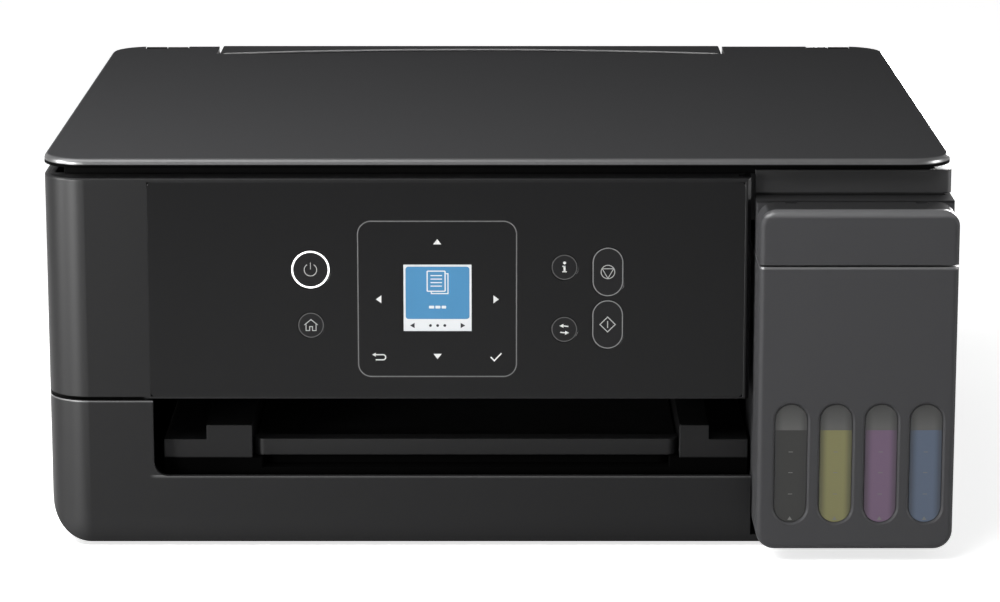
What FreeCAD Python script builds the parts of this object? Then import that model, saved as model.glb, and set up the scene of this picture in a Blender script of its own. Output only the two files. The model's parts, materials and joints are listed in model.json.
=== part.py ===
"""Ink-tank printer with a flatbed scanner: every piece as its own body, sizes in one sheet.

Frame: X to the right, Y to the rear (the front faces -Y), Z up, origin under the middle of the box.
"""
import FreeCAD, Part
import math
import os
from types import SimpleNamespace

import Sketcher

doc = FreeCAD.newDocument("printer")
sheet = doc.addObject("Spreadsheet::Sheet", "dims")
pieces = []
cell_names = []


class Size:
    """A number together with the sheet expression that gives it."""

    def __init__(self, value, text):
        self.value = value
        self.text = text

    def __add__(self, other):
        other = as_size(other)
        return Size(self.value + other.value, f"({self.text} + {other.text})")

    def __radd__(self, other):
        return as_size(other) + self

    def __sub__(self, other):
        other = as_size(other)
        return Size(self.value - other.value, f"({self.text} - {other.text})")

    def __rsub__(self, other):
        return as_size(other) - self

    def __mul__(self, other):
        other = as_size(other)
        return Size(self.value * other.value, f"({self.text} * {other.text})")

    def __rmul__(self, other):
        return as_size(other) * self

    def __truediv__(self, other):
        other = as_size(other)
        return Size(self.value / other.value, f"({self.text} / {other.text})")

    def __rtruediv__(self, other):
        return as_size(other) / self

    def __neg__(self):
        return Size(-self.value, f"(0 - {self.text})")


def as_size(number):
    """Give a plain number the same form as a Size."""
    if isinstance(number, Size):
        return number
    return Size(float(number), f"({float(number)!r})")


def sine(angle):
    """Sine of an angle in degrees."""
    return Size(math.sin(math.radians(angle.value)), f"sin({angle.text} * 1 deg)")


def cosine(angle):
    """Cosine of an angle in degrees."""
    return Size(math.cos(math.radians(angle.value)), f"cos({angle.text} * 1 deg)")


def cells(**values):
    """Write named sizes to the sheet and hand them back for use in expressions."""
    for name, value in values.items():
        cell_names.append(name)
        row = len(cell_names)
        sheet.set(f"A{row}", name)
        sheet.set(f"B{row}", str(value))
        sheet.setAlias(f"B{row}", name)
    sheet.recompute()
    return SimpleNamespace(**{name: Size(float(sheet.get(name)), f"dims.{name}") for name in values})


# Sketch loops

def poly(*points):
    """Closed loop of straight edges through the points."""
    return ("poly", [(as_size(u), as_size(v)) for u, v in points])


def rect(u0, u1, v0, v1):
    """Rectangle between two u and two v values."""
    return poly((u0, v0), (u1, v0), (u1, v1), (u0, v1))


def disc(u, v, radius):
    """Full circle."""
    return ("disc", [as_size(u), as_size(v), as_size(radius)])


def pill(u, v0, v1, radius):
    """Upright slot shape with round ends, between v0 and v1."""
    return ("pill", [as_size(u), as_size(v0), as_size(v1), as_size(radius)])


def fix(sketch, kind, geometry, point, size):
    """Hold one coordinate or radius of a sketch at a size."""
    if kind == "Radius":
        number = sketch.addConstraint(Sketcher.Constraint("Radius", geometry, size.value))
    else:
        number = sketch.addConstraint(Sketcher.Constraint(kind, -1, 1, geometry, point, size.value))
    sketch.setExpression(f"Constraints[{number}]", size.text)


def fix_point(sketch, geometry, point, u, v):
    """Hold both coordinates of a sketch point."""
    fix(sketch, "DistanceX", geometry, point, u)
    fix(sketch, "DistanceY", geometry, point, v)


def draw_poly(sketch, points):
    """Draw a polygon whose corners are bound to the sheet."""
    first = sketch.GeometryCount
    count = len(points)
    corners = [FreeCAD.Vector(u.value, v.value, 0) for u, v in points]
    for i in range(count):
        sketch.addGeometry(Part.LineSegment(corners[i], corners[(i + 1) % count]), False)
    for i, (u, v) in enumerate(points):
        sketch.addConstraint(Sketcher.Constraint("Coincident", first + i, 2, first + (i + 1) % count, 1))
        fix_point(sketch, first + i, 1, u, v)


def draw_disc(sketch, values):
    """Draw a circle bound to the sheet."""
    u, v, radius = values
    circle = Part.Circle(FreeCAD.Vector(u.value, v.value, 0), FreeCAD.Vector(0, 0, 1), radius.value)
    index = sketch.addGeometry(circle, False)
    fix_point(sketch, index, 3, u, v)
    fix(sketch, "Radius", index, 0, radius)


def draw_pill(sketch, values):
    """Draw two half circles joined by tangent lines."""
    u, v0, v1, radius = values
    first = sketch.GeometryCount
    ends = [(v1 - radius, 0.0), (v0 + radius, math.pi)]
    for v, start in ends:
        circle = Part.Circle(FreeCAD.Vector(u.value, v.value, 0), FreeCAD.Vector(0, 0, 1), radius.value)
        sketch.addGeometry(Part.ArcOfCircle(circle, start, start + math.pi), False)
    top, bottom = ends[0][0].value, ends[1][0].value
    low, high = u.value - radius.value, u.value + radius.value
    sketch.addGeometry(Part.LineSegment(FreeCAD.Vector(low, top, 0), FreeCAD.Vector(low, bottom, 0)), False)
    sketch.addGeometry(Part.LineSegment(FreeCAD.Vector(high, bottom, 0), FreeCAD.Vector(high, top, 0)), False)
    joints = [(0, 2, 2, 1), (2, 2, 1, 1), (1, 2, 3, 1), (3, 2, 0, 1)]
    for one, one_end, other, other_end in joints:
        sketch.addConstraint(
            Sketcher.Constraint("Tangent", first + one, one_end, first + other, other_end))
    for i, (v, start) in enumerate(ends):
        fix_point(sketch, first + i, 3, u, v)
        fix(sketch, "Radius", first + i, 0, radius)


drawers = {"poly": draw_poly, "disc": draw_disc, "pill": draw_pill}
# Level sign, and whether a pad has to be reversed to run towards higher coordinates
plane_ways = {"XY": (1, False), "YZ": (1, False), "XZ": (-1, True)}


# Features

def new_body(label):
    """Start a piece; its label names its file."""
    body = doc.addObject("PartDesign::Body", label)
    body.Label = label
    pieces.append(body)
    return body


def origin_part(body, role):
    """One of the body's own origin planes or axes."""
    return next(part for part in body.Origin.OriginFeatures if part.Role == role)


def sketch_on(body, plane, level, loops):
    """Sketch the loops at a level along the plane's axis."""
    sketch = body.newObject("Sketcher::SketchObject", body.Name + "_sketch")
    sketch.AttachmentSupport = [(origin_part(body, plane + "_Plane"), "")]
    sketch.MapMode = "FlatFace"
    sketch.setExpression(".AttachmentOffset.Base.z", (plane_ways[plane][0] * as_size(level)).text)
    for kind, values in loops:
        drawers[kind](sketch, values)
    return sketch


def add(body, plane, start, end, *loops):
    """Pad the loops from start to end, both measured along the plane's axis."""
    sketch = sketch_on(body, plane, start, loops)
    feature = body.newObject("PartDesign::Pad", body.Name + "_pad")
    feature.Profile = sketch
    feature.setExpression("Length", (as_size(end) - start).text)
    feature.Reversed = plane_ways[plane][1]
    return feature


def cut(body, plane, start, end, *loops):
    """Pocket the loops from start to end, both measured along the plane's axis."""
    sketch = sketch_on(body, plane, start, loops)
    feature = body.newObject("PartDesign::Pocket", body.Name + "_pocket")
    feature.Profile = sketch
    feature.setExpression("Length", (as_size(end) - start).text)
    feature.Reversed = not plane_ways[plane][1]
    return feature


def turn(body, *points):
    """Revolve a profile of (x, radius) points about the body's X axis."""
    sketch = sketch_on(body, "XZ", 0, [poly(*points)])
    feature = body.newObject("PartDesign::Revolution", body.Name + "_turn")
    feature.Profile = sketch
    feature.ReferenceAxis = (origin_part(body, "X_Axis"), [""])
    feature.Angle = 360
    return feature


def edge(x=None, y=None, z=None, along=None):
    """Test for edges by the place of their middle and, for straight ones, their direction."""
    wanted = [(i, as_size(place).value) for i, place in enumerate((x, y, z)) if place is not None]
    directions = {"x": (1, 0, 0), "y": (0, 1, 0), "z": (0, 0, 1)}

    def test(candidate):
        middle = candidate.CenterOfMass
        if any(abs(middle[i] - value) > 0.01 for i, value in wanted):
            return False
        if along is None:
            return True
        if len(candidate.Vertexes) < 2:
            return False
        span = candidate.Vertexes[1].Point - candidate.Vertexes[0].Point
        direction = FreeCAD.Vector(*directions[along])
        return span.cross(direction).Length < 1e-6 and span.Length > 1e-6

    return test


def dress(body, kind, prop, size, tests):
    """Round or bevel those edges of the body that pass one of the tests."""
    base = body.Tip
    doc.recompute()
    names = [f"Edge{i + 1}" for i, item in enumerate(base.Shape.Edges) if any(test(item) for test in tests)]
    if not names:
        raise RuntimeError(f"{body.Label}: no edge to dress")
    feature = body.newObject(kind, body.Name + "_dress")
    feature.Base = (base, names)
    feature.setExpression(prop, as_size(size).text)
    return feature


def fillet(body, radius, *tests):
    """Round edges."""
    return dress(body, "PartDesign::Fillet", "Radius", radius, tests)


def chamfer(body, bevel, *tests):
    """Bevel edges."""
    return dress(body, "PartDesign::Chamfer", "Size", bevel, tests)


def repeat(body, features, axis, count, length):
    """Repeat features in a row along one of the body's axes, over a length."""
    feature = body.newObject("PartDesign::LinearPattern", body.Name + "_row")
    feature.Originals = features
    feature.Direction = (origin_part(body, axis + "_Axis"), [""])
    feature.setExpression("Length", as_size(length).text)
    feature.setExpression("Occurrences", as_size(count).text)
    body.Tip = feature
    return feature


def toothed(body, start, end, count, module, play):
    """Spur gear about the body's X axis with its first tooth along +Y."""
    pitch = count * module / 2
    root = pitch - 1.25 * module
    tip = pitch + 0.9 * module
    slope = math.tan(math.radians(20))
    half = module * math.pi / 4 - play / 2
    half_root = half + 1.25 * module * slope
    half_tip = half - 0.9 * module * slope
    sunk = module / 2
    add(body, "YZ", start, end, disc(0, 0, root))
    tooth = add(body, "YZ", start, end, poly(
        (root - sunk, -half_root), (root, -half_root), (tip, -half_tip),
        (tip, half_tip), (root, half_root), (root - sunk, half_root)))
    pattern = body.newObject("PartDesign::PolarPattern", body.Name + "_teeth")
    pattern.Originals = [tooth]
    pattern.Axis = (origin_part(body, "X_Axis"), [""])
    pattern.Angle = 360
    pattern.setExpression("Occurrences", count.text)
    body.Tip = pattern


def place(body, x=0, y=0, z=0, roll=0):
    """Put a body drawn about its own axis where it belongs, turned about X by roll degrees."""
    body.Placement = FreeCAD.Placement(
        FreeCAD.Vector(0, 0, 0), FreeCAD.Rotation(FreeCAD.Vector(1, 0, 0), as_size(roll).value))
    for axis, value in zip("xyz", (x, y, z)):
        body.setExpression(f".Placement.Base.{axis}", as_size(value).text)


# Shared sizes

m = cells(
    width=380.0,          # left side to right side
    depth=339.0,          # tank front to rear wall
    height=167.0,         # floor to lid top
    foot=2.0,             # height of the feet
    reach=25.5,           # tank front ahead of the body front
    wall=2.5,             # moulded wall
    corner=18.0,          # plan radius of the upright corners
    seam=63.4,            # top of the lower case
    part_gap=1.0,         # gap between the lower case and the lifting upper case
    case_top=158.8,       # top edge of the upper case
    lid_thick=4.0,        # lid plate
    fascia_right=105.8,   # right edge of the fascia
    fascia_wall=4.0,      # front wall behind the panel
    slot_left=-145.0,     # output slot, left end
    chin=30.6,            # output slot, lower edge
    rear_depth=30.5,      # depth of the rear housing
    tank_left=107.9,      # left side of the tank unit
    tank_bottom=5.7,      # underside of the tank unit
    tank_top=149.9,       # top of the tank unit
    tank_depth=74.5,      # tank front to tank rear
    cover_seam=126.7,     # lower edge of the tank cover
    tub_bottom=139.0,     # underside of the scanner tub
    hinge_back=4.0,       # hinge line ahead of the rear wall
    hinge_radius=3.8,     # knuckles of the rear hinge
    pin_radius=1.5,       # pins of the rear hinge
    lug_end=174.0,        # outer end of the scanner lugs, from the middle
    lug_width=10.0,       # width of a lug or tower
    lug_gap=0.5,          # side play between knuckles
    running=0.05,         # radial play of a shaft in its hole
    support_left=-136.5,  # paper support, left end
    support_right=110.0,  # paper support, right end
    lid_rear=143.0,       # rear edge of the lid between its lobes
    slack=0.5,            # room between a moving piece and its guide
    lean=23.0,            # paper feed, degrees from upright
    strip_back=10.5,      # front strip above the tank, behind the body front
)

left = -m.width / 2
right = m.width / 2
rear = m.depth / 2
tank_front = -m.depth / 2
front = tank_front + m.reach
floor = m.foot + m.wall
upper_bottom = m.seam + m.part_gap
lid_under = m.height - m.lid_thick
rear_front = rear - m.rear_depth
tank_rear = tank_front + m.tank_depth
hinge_y = rear - m.hinge_back
hinge_z = m.height - m.hinge_radius
tower_end = m.lug_end - m.lug_width - m.lug_gap
notch_start = tower_end - m.lug_width - m.lug_gap
lobe_left = m.support_left - 3 * m.slack
lobe_right = m.support_right + 3 * m.slack


# Lower case: a tub with upright round corners and sides that roll under into its floor

shell = cells(
    belly=18.0,        # radius between the sides and the floor
    slot_round=6.0,    # lower left corner of the output slot
    inlet_left=-125.0,  # mains inlet hole in the rear wall
    inlet_width=24.0,
    inlet_low=18.0,
    inlet_tall=18.0,
    usb_left=58.0,     # USB hole in the rear wall
    usb_width=14.0,
    usb_tall=13.0,
)


def block(name, x0, x1, y0, y1, z0, z1):
    """Box between three pairs of sizes."""
    box = doc.addObject("Part::Box", name)
    for side, low, high, axis in (("Length", x0, x1, "x"), ("Width", y0, y1, "y"), ("Height", z0, z1, "z")):
        box.setExpression(side, (as_size(high) - low).text)
        box.setExpression(f".Placement.Base.{axis}", as_size(low).text)
    return box


def rounded(name, base, radii):
    """Part fillet; radii gives the start and end radius of an edge, or None to leave it."""
    doc.recompute()
    feature = doc.addObject("Part::Fillet", name)
    feature.Base = base
    chosen = [(i + 1, radii(item)) for i, item in enumerate(base.Shape.Edges)]
    feature.Edges = [(number, pair[0], pair[1]) for number, pair in chosen if pair]
    return feature


def tub(name, inset, top):
    """Tub body set in by a wall: upright corners from above, round sides from the front, what is common to both."""
    limits = (left + inset, right - inset, front + inset, rear - inset, m.foot + inset, top)
    belly = (shell.belly - inset).value
    corner = (m.corner - inset).value

    def upright(item):
        return (corner, corner) if edge(along="z")(item) else None

    def at_side(item):
        return (belly, belly) if edge(z=limits[4], along="y")(item) else None

    both = doc.addObject("Part::Common", name)
    both.Base = rounded(name + "_plan", block(name + "_plan_box", *limits), upright)
    both.Tool = rounded(name + "_front", block(name + "_front_box", *limits), at_side)
    return both


def make_lower_case():
    """Tub with the output slot, the tank's corner and the rear sockets cut out."""
    past = m.wall * 2
    slot = block("slot_space", m.slot_left, m.tank_left, front - past, front + past, m.chin, m.seam + past)
    slot_low = rounded("slot_cut", slot, lambda item: (shell.slot_round.value, shell.slot_round.value) if (
        edge(x=m.slot_left, z=m.chin)(item)) else None)
    tank_space = block("tank_space", m.tank_left - m.slack, right + past, front - past, tank_rear + m.slack,
                       floor + m.slack, m.seam + past)
    inlet = block("inlet_hole", shell.inlet_left, shell.inlet_left + shell.inlet_width,
                  rear - past, rear + past, shell.inlet_low, shell.inlet_low + shell.inlet_tall)
    usb = block("usb_hole", shell.usb_left, shell.usb_left + shell.usb_width,
                rear - past, rear + past, shell.inlet_low, shell.inlet_low + shell.usb_tall)
    spaces = doc.addObject("Part::MultiFuse", "lower_spaces")
    spaces.Shapes = [tub("lower_inner", m.wall, m.seam + past), slot_low, tank_space, inlet, usb]
    case = doc.addObject("Part::Cut", "lower_case")
    case.Base = tub("lower_outer", as_size(0), m.seam)
    case.Tool = spaces
    case.Label = "lower_case"
    pieces.append(case)


make_lower_case()


# Upper case: left side and fascia in one shell, open to the right and to the rear

panel = cells(
    panel_left=-145.8,    # glossy inlay
    panel_right=103.3,
    panel_low=65.2,
    panel_high=156.9,
    panel_thick=2.0,
    panel_round=2.0,
    window_left=-90.0,    # opening in the fascia behind the inlay
    window_right=60.0,
    window_low=81.0,
    window_high=133.0,
    board_gap=8.0,        # fascia front to control board
    board_thick=1.6,
    board_edge=11.0,      # control board beyond the fascia opening
    boss_radius=3.0,
    boss_in=5.0,          # boss centre in from the board's corner
    return_depth=22.0,    # return flange at the fascia's right edge
    edge_bevel=1.4,
)
board_y = front + panel.board_gap
board_left = panel.window_left - panel.board_edge
board_right = panel.window_right + panel.board_edge
board_low = panel.window_low - panel.board_edge + 3
board_high = m.tub_bottom - m.slack
fascia_back = front + m.fascia_wall
strip_front = front + m.strip_back
corner_cut = m.corner / 2


def make_upper_case():
    case = new_body("upper_case")
    case_rear = rear_front - m.slack
    add(case, "XY", upper_bottom, m.case_top, rect(left, m.fascia_right, front, case_rear))
    fillet(case, m.corner, edge(x=left, y=front, along="z"))
    hollow_right = m.fascia_right - m.wall
    past = case_rear + m.wall
    cut(case, "XY", upper_bottom, m.case_top, poly(
        (left + m.wall, fascia_back + corner_cut), (left + m.wall + corner_cut, fascia_back),
        (hollow_right, fascia_back), (hollow_right, past), (left + m.wall, past)))
    cut(case, "XY", upper_bottom, m.case_top,
        rect(hollow_right - m.wall, m.fascia_right + m.wall, fascia_back + panel.return_depth, past))
    cut(case, "XY", m.tub_bottom - m.slack, m.case_top,
        rect(hollow_right - m.wall, m.fascia_right + m.wall, strip_front - m.slack, past))
    chamfer(case, panel.edge_bevel, edge(x=m.fascia_right, y=front, along="z"))
    fillet(case, m.wall / 2, edge(y=front, z=m.case_top, along="x"), edge(x=left, z=m.case_top, along="y"))
    cut(case, "XZ", front, front + panel.panel_thick,
        rect(panel.panel_left, panel.panel_right, panel.panel_low, panel.panel_high))
    cut(case, "XZ", front, fascia_back + m.wall,
        rect(panel.window_left, panel.window_right, panel.window_low, panel.window_high))
    bosses = [disc(x, z, panel.boss_radius)
              for x in (board_left + panel.boss_in, board_right - panel.boss_in)
              for z in (board_low + panel.boss_in, board_high - panel.boss_in)]
    add(case, "XZ", fascia_back - m.slack, board_y, *bosses)


make_upper_case()


# Control panel, its buttons, the LCD and the board behind them

keys = cells(
    power_x=-78.0, power_z=119.9, power_radius=8.2,
    home_x=-78.0, home_z=96.1, small_radius=5.4,
    info_x=28.15, info_z=120.9,
    swap_z=94.3,
    pill_x=46.3, pill_radius=6.5, pill_tall=20.8,
    stop_low=108.5, start_low=86.0,
    key_play=0.3,       # gap round a button
    key_long=4.5,       # button, front to stem end
    key_flange=1.3,     # flange behind the panel, beyond the button
    flange_thick=1.0,
    switch_gap=0.8,     # button end to switch
    switch_size=6.0,
    lcd_x=-24.95, lcd_z=107.75, lcd_side=28.6,
    lcd_flange=2.0,
)
round_keys = {
    "power_button": (keys.power_x, keys.power_z, keys.power_radius),
    "home_button": (keys.home_x, keys.home_z, keys.small_radius),
    "info_button": (keys.info_x, keys.info_z, keys.small_radius),
    "swap_button": (keys.info_x, keys.swap_z, keys.small_radius),
}
pill_keys = {"stop_button": keys.stop_low, "start_button": keys.start_low}
panel_back = front + panel.panel_thick
lcd_half = keys.lcd_side / 2


def lcd_square(grow):
    """Square of the LCD, grown on all sides."""
    half = lcd_half + grow
    return rect(keys.lcd_x - half, keys.lcd_x + half, keys.lcd_z - half, keys.lcd_z + half)


def pill_key(low, grow):
    """Outline of a tall button, grown on all sides."""
    return pill(keys.pill_x, low - grow, low + keys.pill_tall + grow, keys.pill_radius + grow)


def make_panel():
    sheet_body = new_body("control_panel")
    add(sheet_body, "XZ", front, panel_back,
        rect(panel.panel_left, panel.panel_right, panel.panel_low, panel.panel_high))
    corners = [edge(x=x, z=z, along="y") for x in (panel.panel_left, panel.panel_right)
               for z in (panel.panel_low, panel.panel_high)]
    fillet(sheet_body, panel.panel_round, *corners)
    holes = [disc(x, z, radius + keys.key_play) for x, z, radius in round_keys.values()]
    holes += [pill_key(low, keys.key_play) for low in pill_keys.values()]
    cut(sheet_body, "XZ", front - m.wall, panel_back + m.wall, lcd_square(keys.key_play / 2), *holes)


def make_button(label, outline):
    """Button cap with a flange that keeps it behind the panel; outline(grow) gives its shape."""
    body = new_body(label)
    add(body, "XZ", front, front + keys.key_long, outline(as_size(0)))
    flange_front = panel_back + keys.key_play
    add(body, "XZ", flange_front, flange_front + keys.flange_thick, outline(keys.key_flange / 2))
    return body


def make_lcd():
    body = new_body("lcd")
    add(body, "XZ", front + keys.key_play, board_y, lcd_square(as_size(0)))
    add(body, "XZ", panel_back, panel_back + keys.key_long, lcd_square(keys.lcd_flange))


def make_board():
    body = new_body("control_board")
    add(body, "XZ", board_y, board_y + panel.board_thick, rect(board_left, board_right, board_low, board_high))
    half = keys.switch_size / 2
    spots = [(x, z) for x, z, radius in round_keys.values()]
    spots += [(keys.pill_x, low + keys.pill_tall / 2) for low in pill_keys.values()]
    switches = [rect(x - half, x + half, z - half, z + half) for x, z in spots]
    add(body, "XZ", front + keys.key_long + keys.switch_gap, board_y, *switches)


make_panel()
for key_label, (key_x, key_z, key_radius) in round_keys.items():
    make_button(key_label, lambda grow, x=key_x, z=key_z, r=key_radius: disc(x, z, r + grow))
for key_label, key_low in pill_keys.items():
    make_button(key_label, lambda grow, low=key_low: pill_key(low, grow))
make_lcd()
make_board()


# Scanner: tub, top frame with the hinge lugs, glass and image sensor bar

scan = cells(
    strip_bottom=151.0,   # lower edge of that strip and of the right side skirt
    strip_top=160.8,
    skirt=3.0,            # thickness of the right side skirt
    frame_inset=9.0,      # top frame in from the outer sides
    frame_top=162.6,
    glass_left=-160.0,
    glass_wide=297.0,
    glass_front=-112.0,
    glass_long=216.0,
    glass_thick=2.4,
    glass_ledge=2.0,
    arm_low=159.6,        # lug arms, underside
    arm_high=162.4,
    rail_tall=4.0,        # guide rib on the tub floor
    rail_half=2.5,
    bar_wide=20.0,        # image sensor bar
    bar_margin=4.0,       # bar beyond the glass window, front and rear
    bar_start=10.0,       # bar in from the tub's left wall
)
tub_left = left + m.wall
tub_right = right - scan.skirt
tub_rear = rear_front - 3 * m.slack
tub_floor = m.tub_bottom + m.wall


def make_scanner_tub():
    body = new_body("scanner_tub")
    add(body, "XY", m.tub_bottom, m.case_top, poly(
        (tub_left, fascia_back + corner_cut), (tub_left + corner_cut, fascia_back),
        (m.fascia_right - 2 * m.wall, fascia_back),
        (m.fascia_right - 2 * m.wall, strip_front), (tub_right, strip_front),
        (tub_right, tub_rear), (tub_left, tub_rear)))
    cut(body, "XY", tub_floor, m.case_top, rect(
        tub_left + m.wall, tub_right - m.wall, strip_front + m.wall, tub_rear - m.wall))
    add(body, "XY", scan.strip_bottom, scan.strip_top,
        rect(m.tank_left, right, strip_front - m.wall, strip_front))
    add(body, "XY", scan.strip_bottom, m.case_top, rect(tub_right, right, strip_front, tub_rear))
    fillet(body, m.wall, edge(x=right, y=strip_front - m.wall, along="z"))
    rail_x = tub_left + m.wall
    add(body, "YZ", rail_x, tub_right - m.wall,
        rect(-scan.rail_half, scan.rail_half, tub_floor, tub_floor + scan.rail_tall))


def hinge_knuckles(body, outer_end, width, low, front_side):
    """A round knuckle on the rear hinge line with its web, on both sides of the machine."""
    for side in (-1, 1):
        ends = sorted((side * outer_end, side * (outer_end - width)), key=lambda end: end.value)
        add(body, "YZ", ends[0], ends[1], disc(hinge_y, hinge_z, m.hinge_radius))
        add(body, "YZ", ends[0], ends[1], rect(front_side, hinge_y, low, hinge_z))
        cut(body, "YZ", ends[0] - m.wall, ends[1] + m.wall, disc(hinge_y, hinge_z, m.pin_radius + m.running))


def make_scanner_frame():
    body = new_body("scanner_frame")
    frame_left = left + scan.frame_inset
    add(body, "XY", m.case_top, scan.frame_top,
        rect(frame_left, -frame_left, strip_front, tub_rear))
    glass_right = scan.glass_left + scan.glass_wide
    glass_rear = scan.glass_front + scan.glass_long
    ledge = scan.glass_ledge
    cut(body, "XY", m.case_top, scan.frame_top, rect(
        scan.glass_left + ledge, glass_right - ledge, scan.glass_front + ledge, glass_rear - ledge))
    cut(body, "XY", scan.frame_top - scan.glass_thick, scan.frame_top,
        rect(scan.glass_left, glass_right, scan.glass_front, glass_rear))
    for side in (-1, 1):
        ends = sorted((side * m.lug_end, side * (m.lug_end - m.lug_width)), key=lambda end: end.value)
        add(body, "XY", scan.arm_low, scan.arm_high, rect(ends[0], ends[1], tub_rear - m.wall, hinge_y))
    hinge_knuckles(body, m.lug_end, m.lug_width, scan.arm_low, hinge_y - m.hinge_radius)
    pane = new_body("platen_glass")
    add(pane, "XY", scan.frame_top - scan.glass_thick, scan.frame_top,
        rect(scan.glass_left, glass_right, scan.glass_front, glass_rear))


def make_sensor_bar():
    body = new_body("image_sensor_bar")
    bar_left = tub_left + scan.bar_start
    bar_low = tub_floor + m.slack
    bar_high = m.case_top - m.slack
    front_end = scan.glass_front - scan.bar_margin
    rear_end = scan.glass_front + scan.glass_long + scan.bar_margin
    add(body, "YZ", bar_left, bar_left + scan.bar_wide, poly(
        (front_end, bar_low), (-scan.rail_half - m.slack, bar_low),
        (-scan.rail_half - m.slack, tub_floor + scan.rail_tall + m.slack),
        (scan.rail_half + m.slack, tub_floor + scan.rail_tall + m.slack),
        (scan.rail_half + m.slack, bar_low), (rear_end, bar_low),
        (rear_end, bar_high), (front_end, bar_high)))
    chamfer(body, m.wall, edge(z=bar_high, along="y"))


make_scanner_tub()
make_scanner_frame()
make_sensor_bar()


# Lid: a shallow cap with two rear lobes that carry the hinge knuckles, and its white mat

cover = cells(
    rim=2.2,            # rounding of the lid's upper edge
    skin=2.0,           # plate above the mat
    mat_margin=14.0,    # mat beyond the glass
    mat_drop=0.2,       # mat below the lid's rim
    lobe_start=178.0,   # outer end of the knuckles, from the middle
    lug_room=1.2,       # room round the lugs
)


def make_lid():
    body = new_body("lid")
    lobe_rear = hinge_y + m.hinge_radius
    outline = poly(
        (left, front), (right, front), (right, lobe_rear), (lobe_right, lobe_rear), (lobe_right, m.lid_rear),
        (lobe_left, m.lid_rear), (lobe_left, lobe_rear), (left, lobe_rear))
    add(body, "XY", lid_under, m.height, outline)
    fillet(body, m.corner, *[edge(x=x, y=y, along="z") for x in (left, right) for y in (front, lobe_rear)])

    def upper_rim(item):
        middle = item.CenterOfMass
        inside = lobe_left.value - 0.1 < middle.x < lobe_right.value + 0.1 and middle.y > m.lid_rear.value - 0.1
        return abs(middle.z - m.height.value) < 0.01 and not inside

    fillet(body, cover.rim, upper_rim)
    mat_left = scan.glass_left - cover.mat_margin
    mat_right = scan.glass_left + scan.glass_wide + cover.mat_margin
    mat_front = scan.glass_front - cover.mat_margin
    mat_rear = scan.glass_front + scan.glass_long + cover.mat_margin
    ceiling = m.height - cover.skin
    cut(body, "XY", lid_under, ceiling, rect(
        mat_left - m.slack, mat_right + m.slack, mat_front - m.slack, mat_rear + m.slack))
    notch_front = hinge_y - m.hinge_radius - cover.lug_room
    for side in (-1, 1):
        ends = sorted((side * (m.lug_end + m.lug_gap), side * notch_start), key=lambda end: end.value)
        cut(body, "XY", lid_under, m.height, rect(ends[0], ends[1], notch_front, lobe_rear + m.wall))
    knuckles = [(-cover.lobe_start, -m.lug_end - m.lug_gap), (-notch_start, lobe_left),
                (lobe_right, notch_start), (m.lug_end + m.lug_gap, cover.lobe_start)]
    for start, end in knuckles:
        add(body, "YZ", start, end, disc(hinge_y, hinge_z, m.hinge_radius))
        cut(body, "YZ", start - m.wall, end + m.wall, disc(hinge_y, hinge_z, m.pin_radius + m.running))
    mat = new_body("lid_mat")
    add(mat, "XY", lid_under - cover.mat_drop, ceiling, rect(mat_left, mat_right, mat_front, mat_rear))


def make_hinge_pins():
    """One pin on each side, in one piece list entry."""
    pins = []
    pin_start = cover.lobe_start
    for side in (-1, 1):
        pin = doc.addObject("Part::Cylinder", "hinge_pin")
        pin.setExpression("Radius", m.pin_radius.text)
        pin.setExpression("Height", (pin_start - notch_start + 3 * m.wall).text)
        start = -pin_start if side < 0 else notch_start - 3 * m.wall
        pin.Placement = FreeCAD.Placement(
            FreeCAD.Vector(0, 0, 0), FreeCAD.Rotation(FreeCAD.Vector(0, 1, 0), 90))
        for axis, value in zip("xyz", (start, hinge_y, hinge_z)):
            pin.setExpression(f".Placement.Base.{axis}", value.text)
        pins.append(pin)
    group = doc.addObject("Part::Compound", "hinge_pins")
    group.Links = pins
    group.Label = "hinge_pins"
    pieces.append(group)


make_lid()
make_hinge_pins()


# Rear and right housings on the lower case

back = cells(
    deck_top=158.5,      # rear housing, top
    mouth_low=140.0,     # lower edge of its front wall across the paper mouth
    skirt_gap=0.6,       # right housing below the scanner's skirt
    rib_thick=1.6,
    rib_deep=5.0,
    rib_count=4,
    screw_radius=1.5,
    screw_head=3.4,
    head_thick=1.3,
    screw_long=8.0,
    screw_up=8.0,        # screws above the seam
    screw_x=150.0,       # outer screws, from the middle
)


def make_rear_housing():
    body = new_body("rear_housing")
    add(body, "XY", m.seam, back.deck_top, rect(left, right, rear_front, rear))
    fillet(body, m.corner, edge(x=left, y=rear, along="z"), edge(x=right, y=rear, along="z"))
    cut(body, "XY", m.seam, back.deck_top - m.wall, poly(
        (left + m.wall, rear_front + m.wall), (right - m.wall, rear_front + m.wall),
        (right - m.wall, rear - m.wall - corner_cut), (right - m.wall - corner_cut, rear - m.wall),
        (left + m.wall + corner_cut, rear - m.wall), (left + m.wall, rear - m.wall - corner_cut)))
    cut(body, "XY", m.seam, back.deck_top, rect(lobe_left, lobe_right, rear_front + m.wall, rear - m.wall))
    cut(body, "XZ", rear_front - m.wall, rear_front + 2 * m.wall,
        rect(lobe_left, lobe_right, m.seam - m.wall, back.mouth_low))
    hinge_knuckles(body, tower_end, m.lug_width, back.deck_top - m.wall, hinge_y - m.hinge_radius)
    screws = screw_spots()
    cut(body, "XZ", rear - back.head_thick, rear, *[disc(x, z, back.screw_head + m.running) for x, z in screws])
    cut(body, "XZ", rear - 2 * m.wall, rear, *[disc(x, z, back.screw_radius + m.running) for x, z in screws])


def screw_spots():
    """Centres of the rear housing screws as (x, z)."""
    z = m.seam + back.screw_up
    return [(x, z) for x in (-back.screw_x, -back.screw_x / 3, back.screw_x / 3, back.screw_x)]


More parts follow.
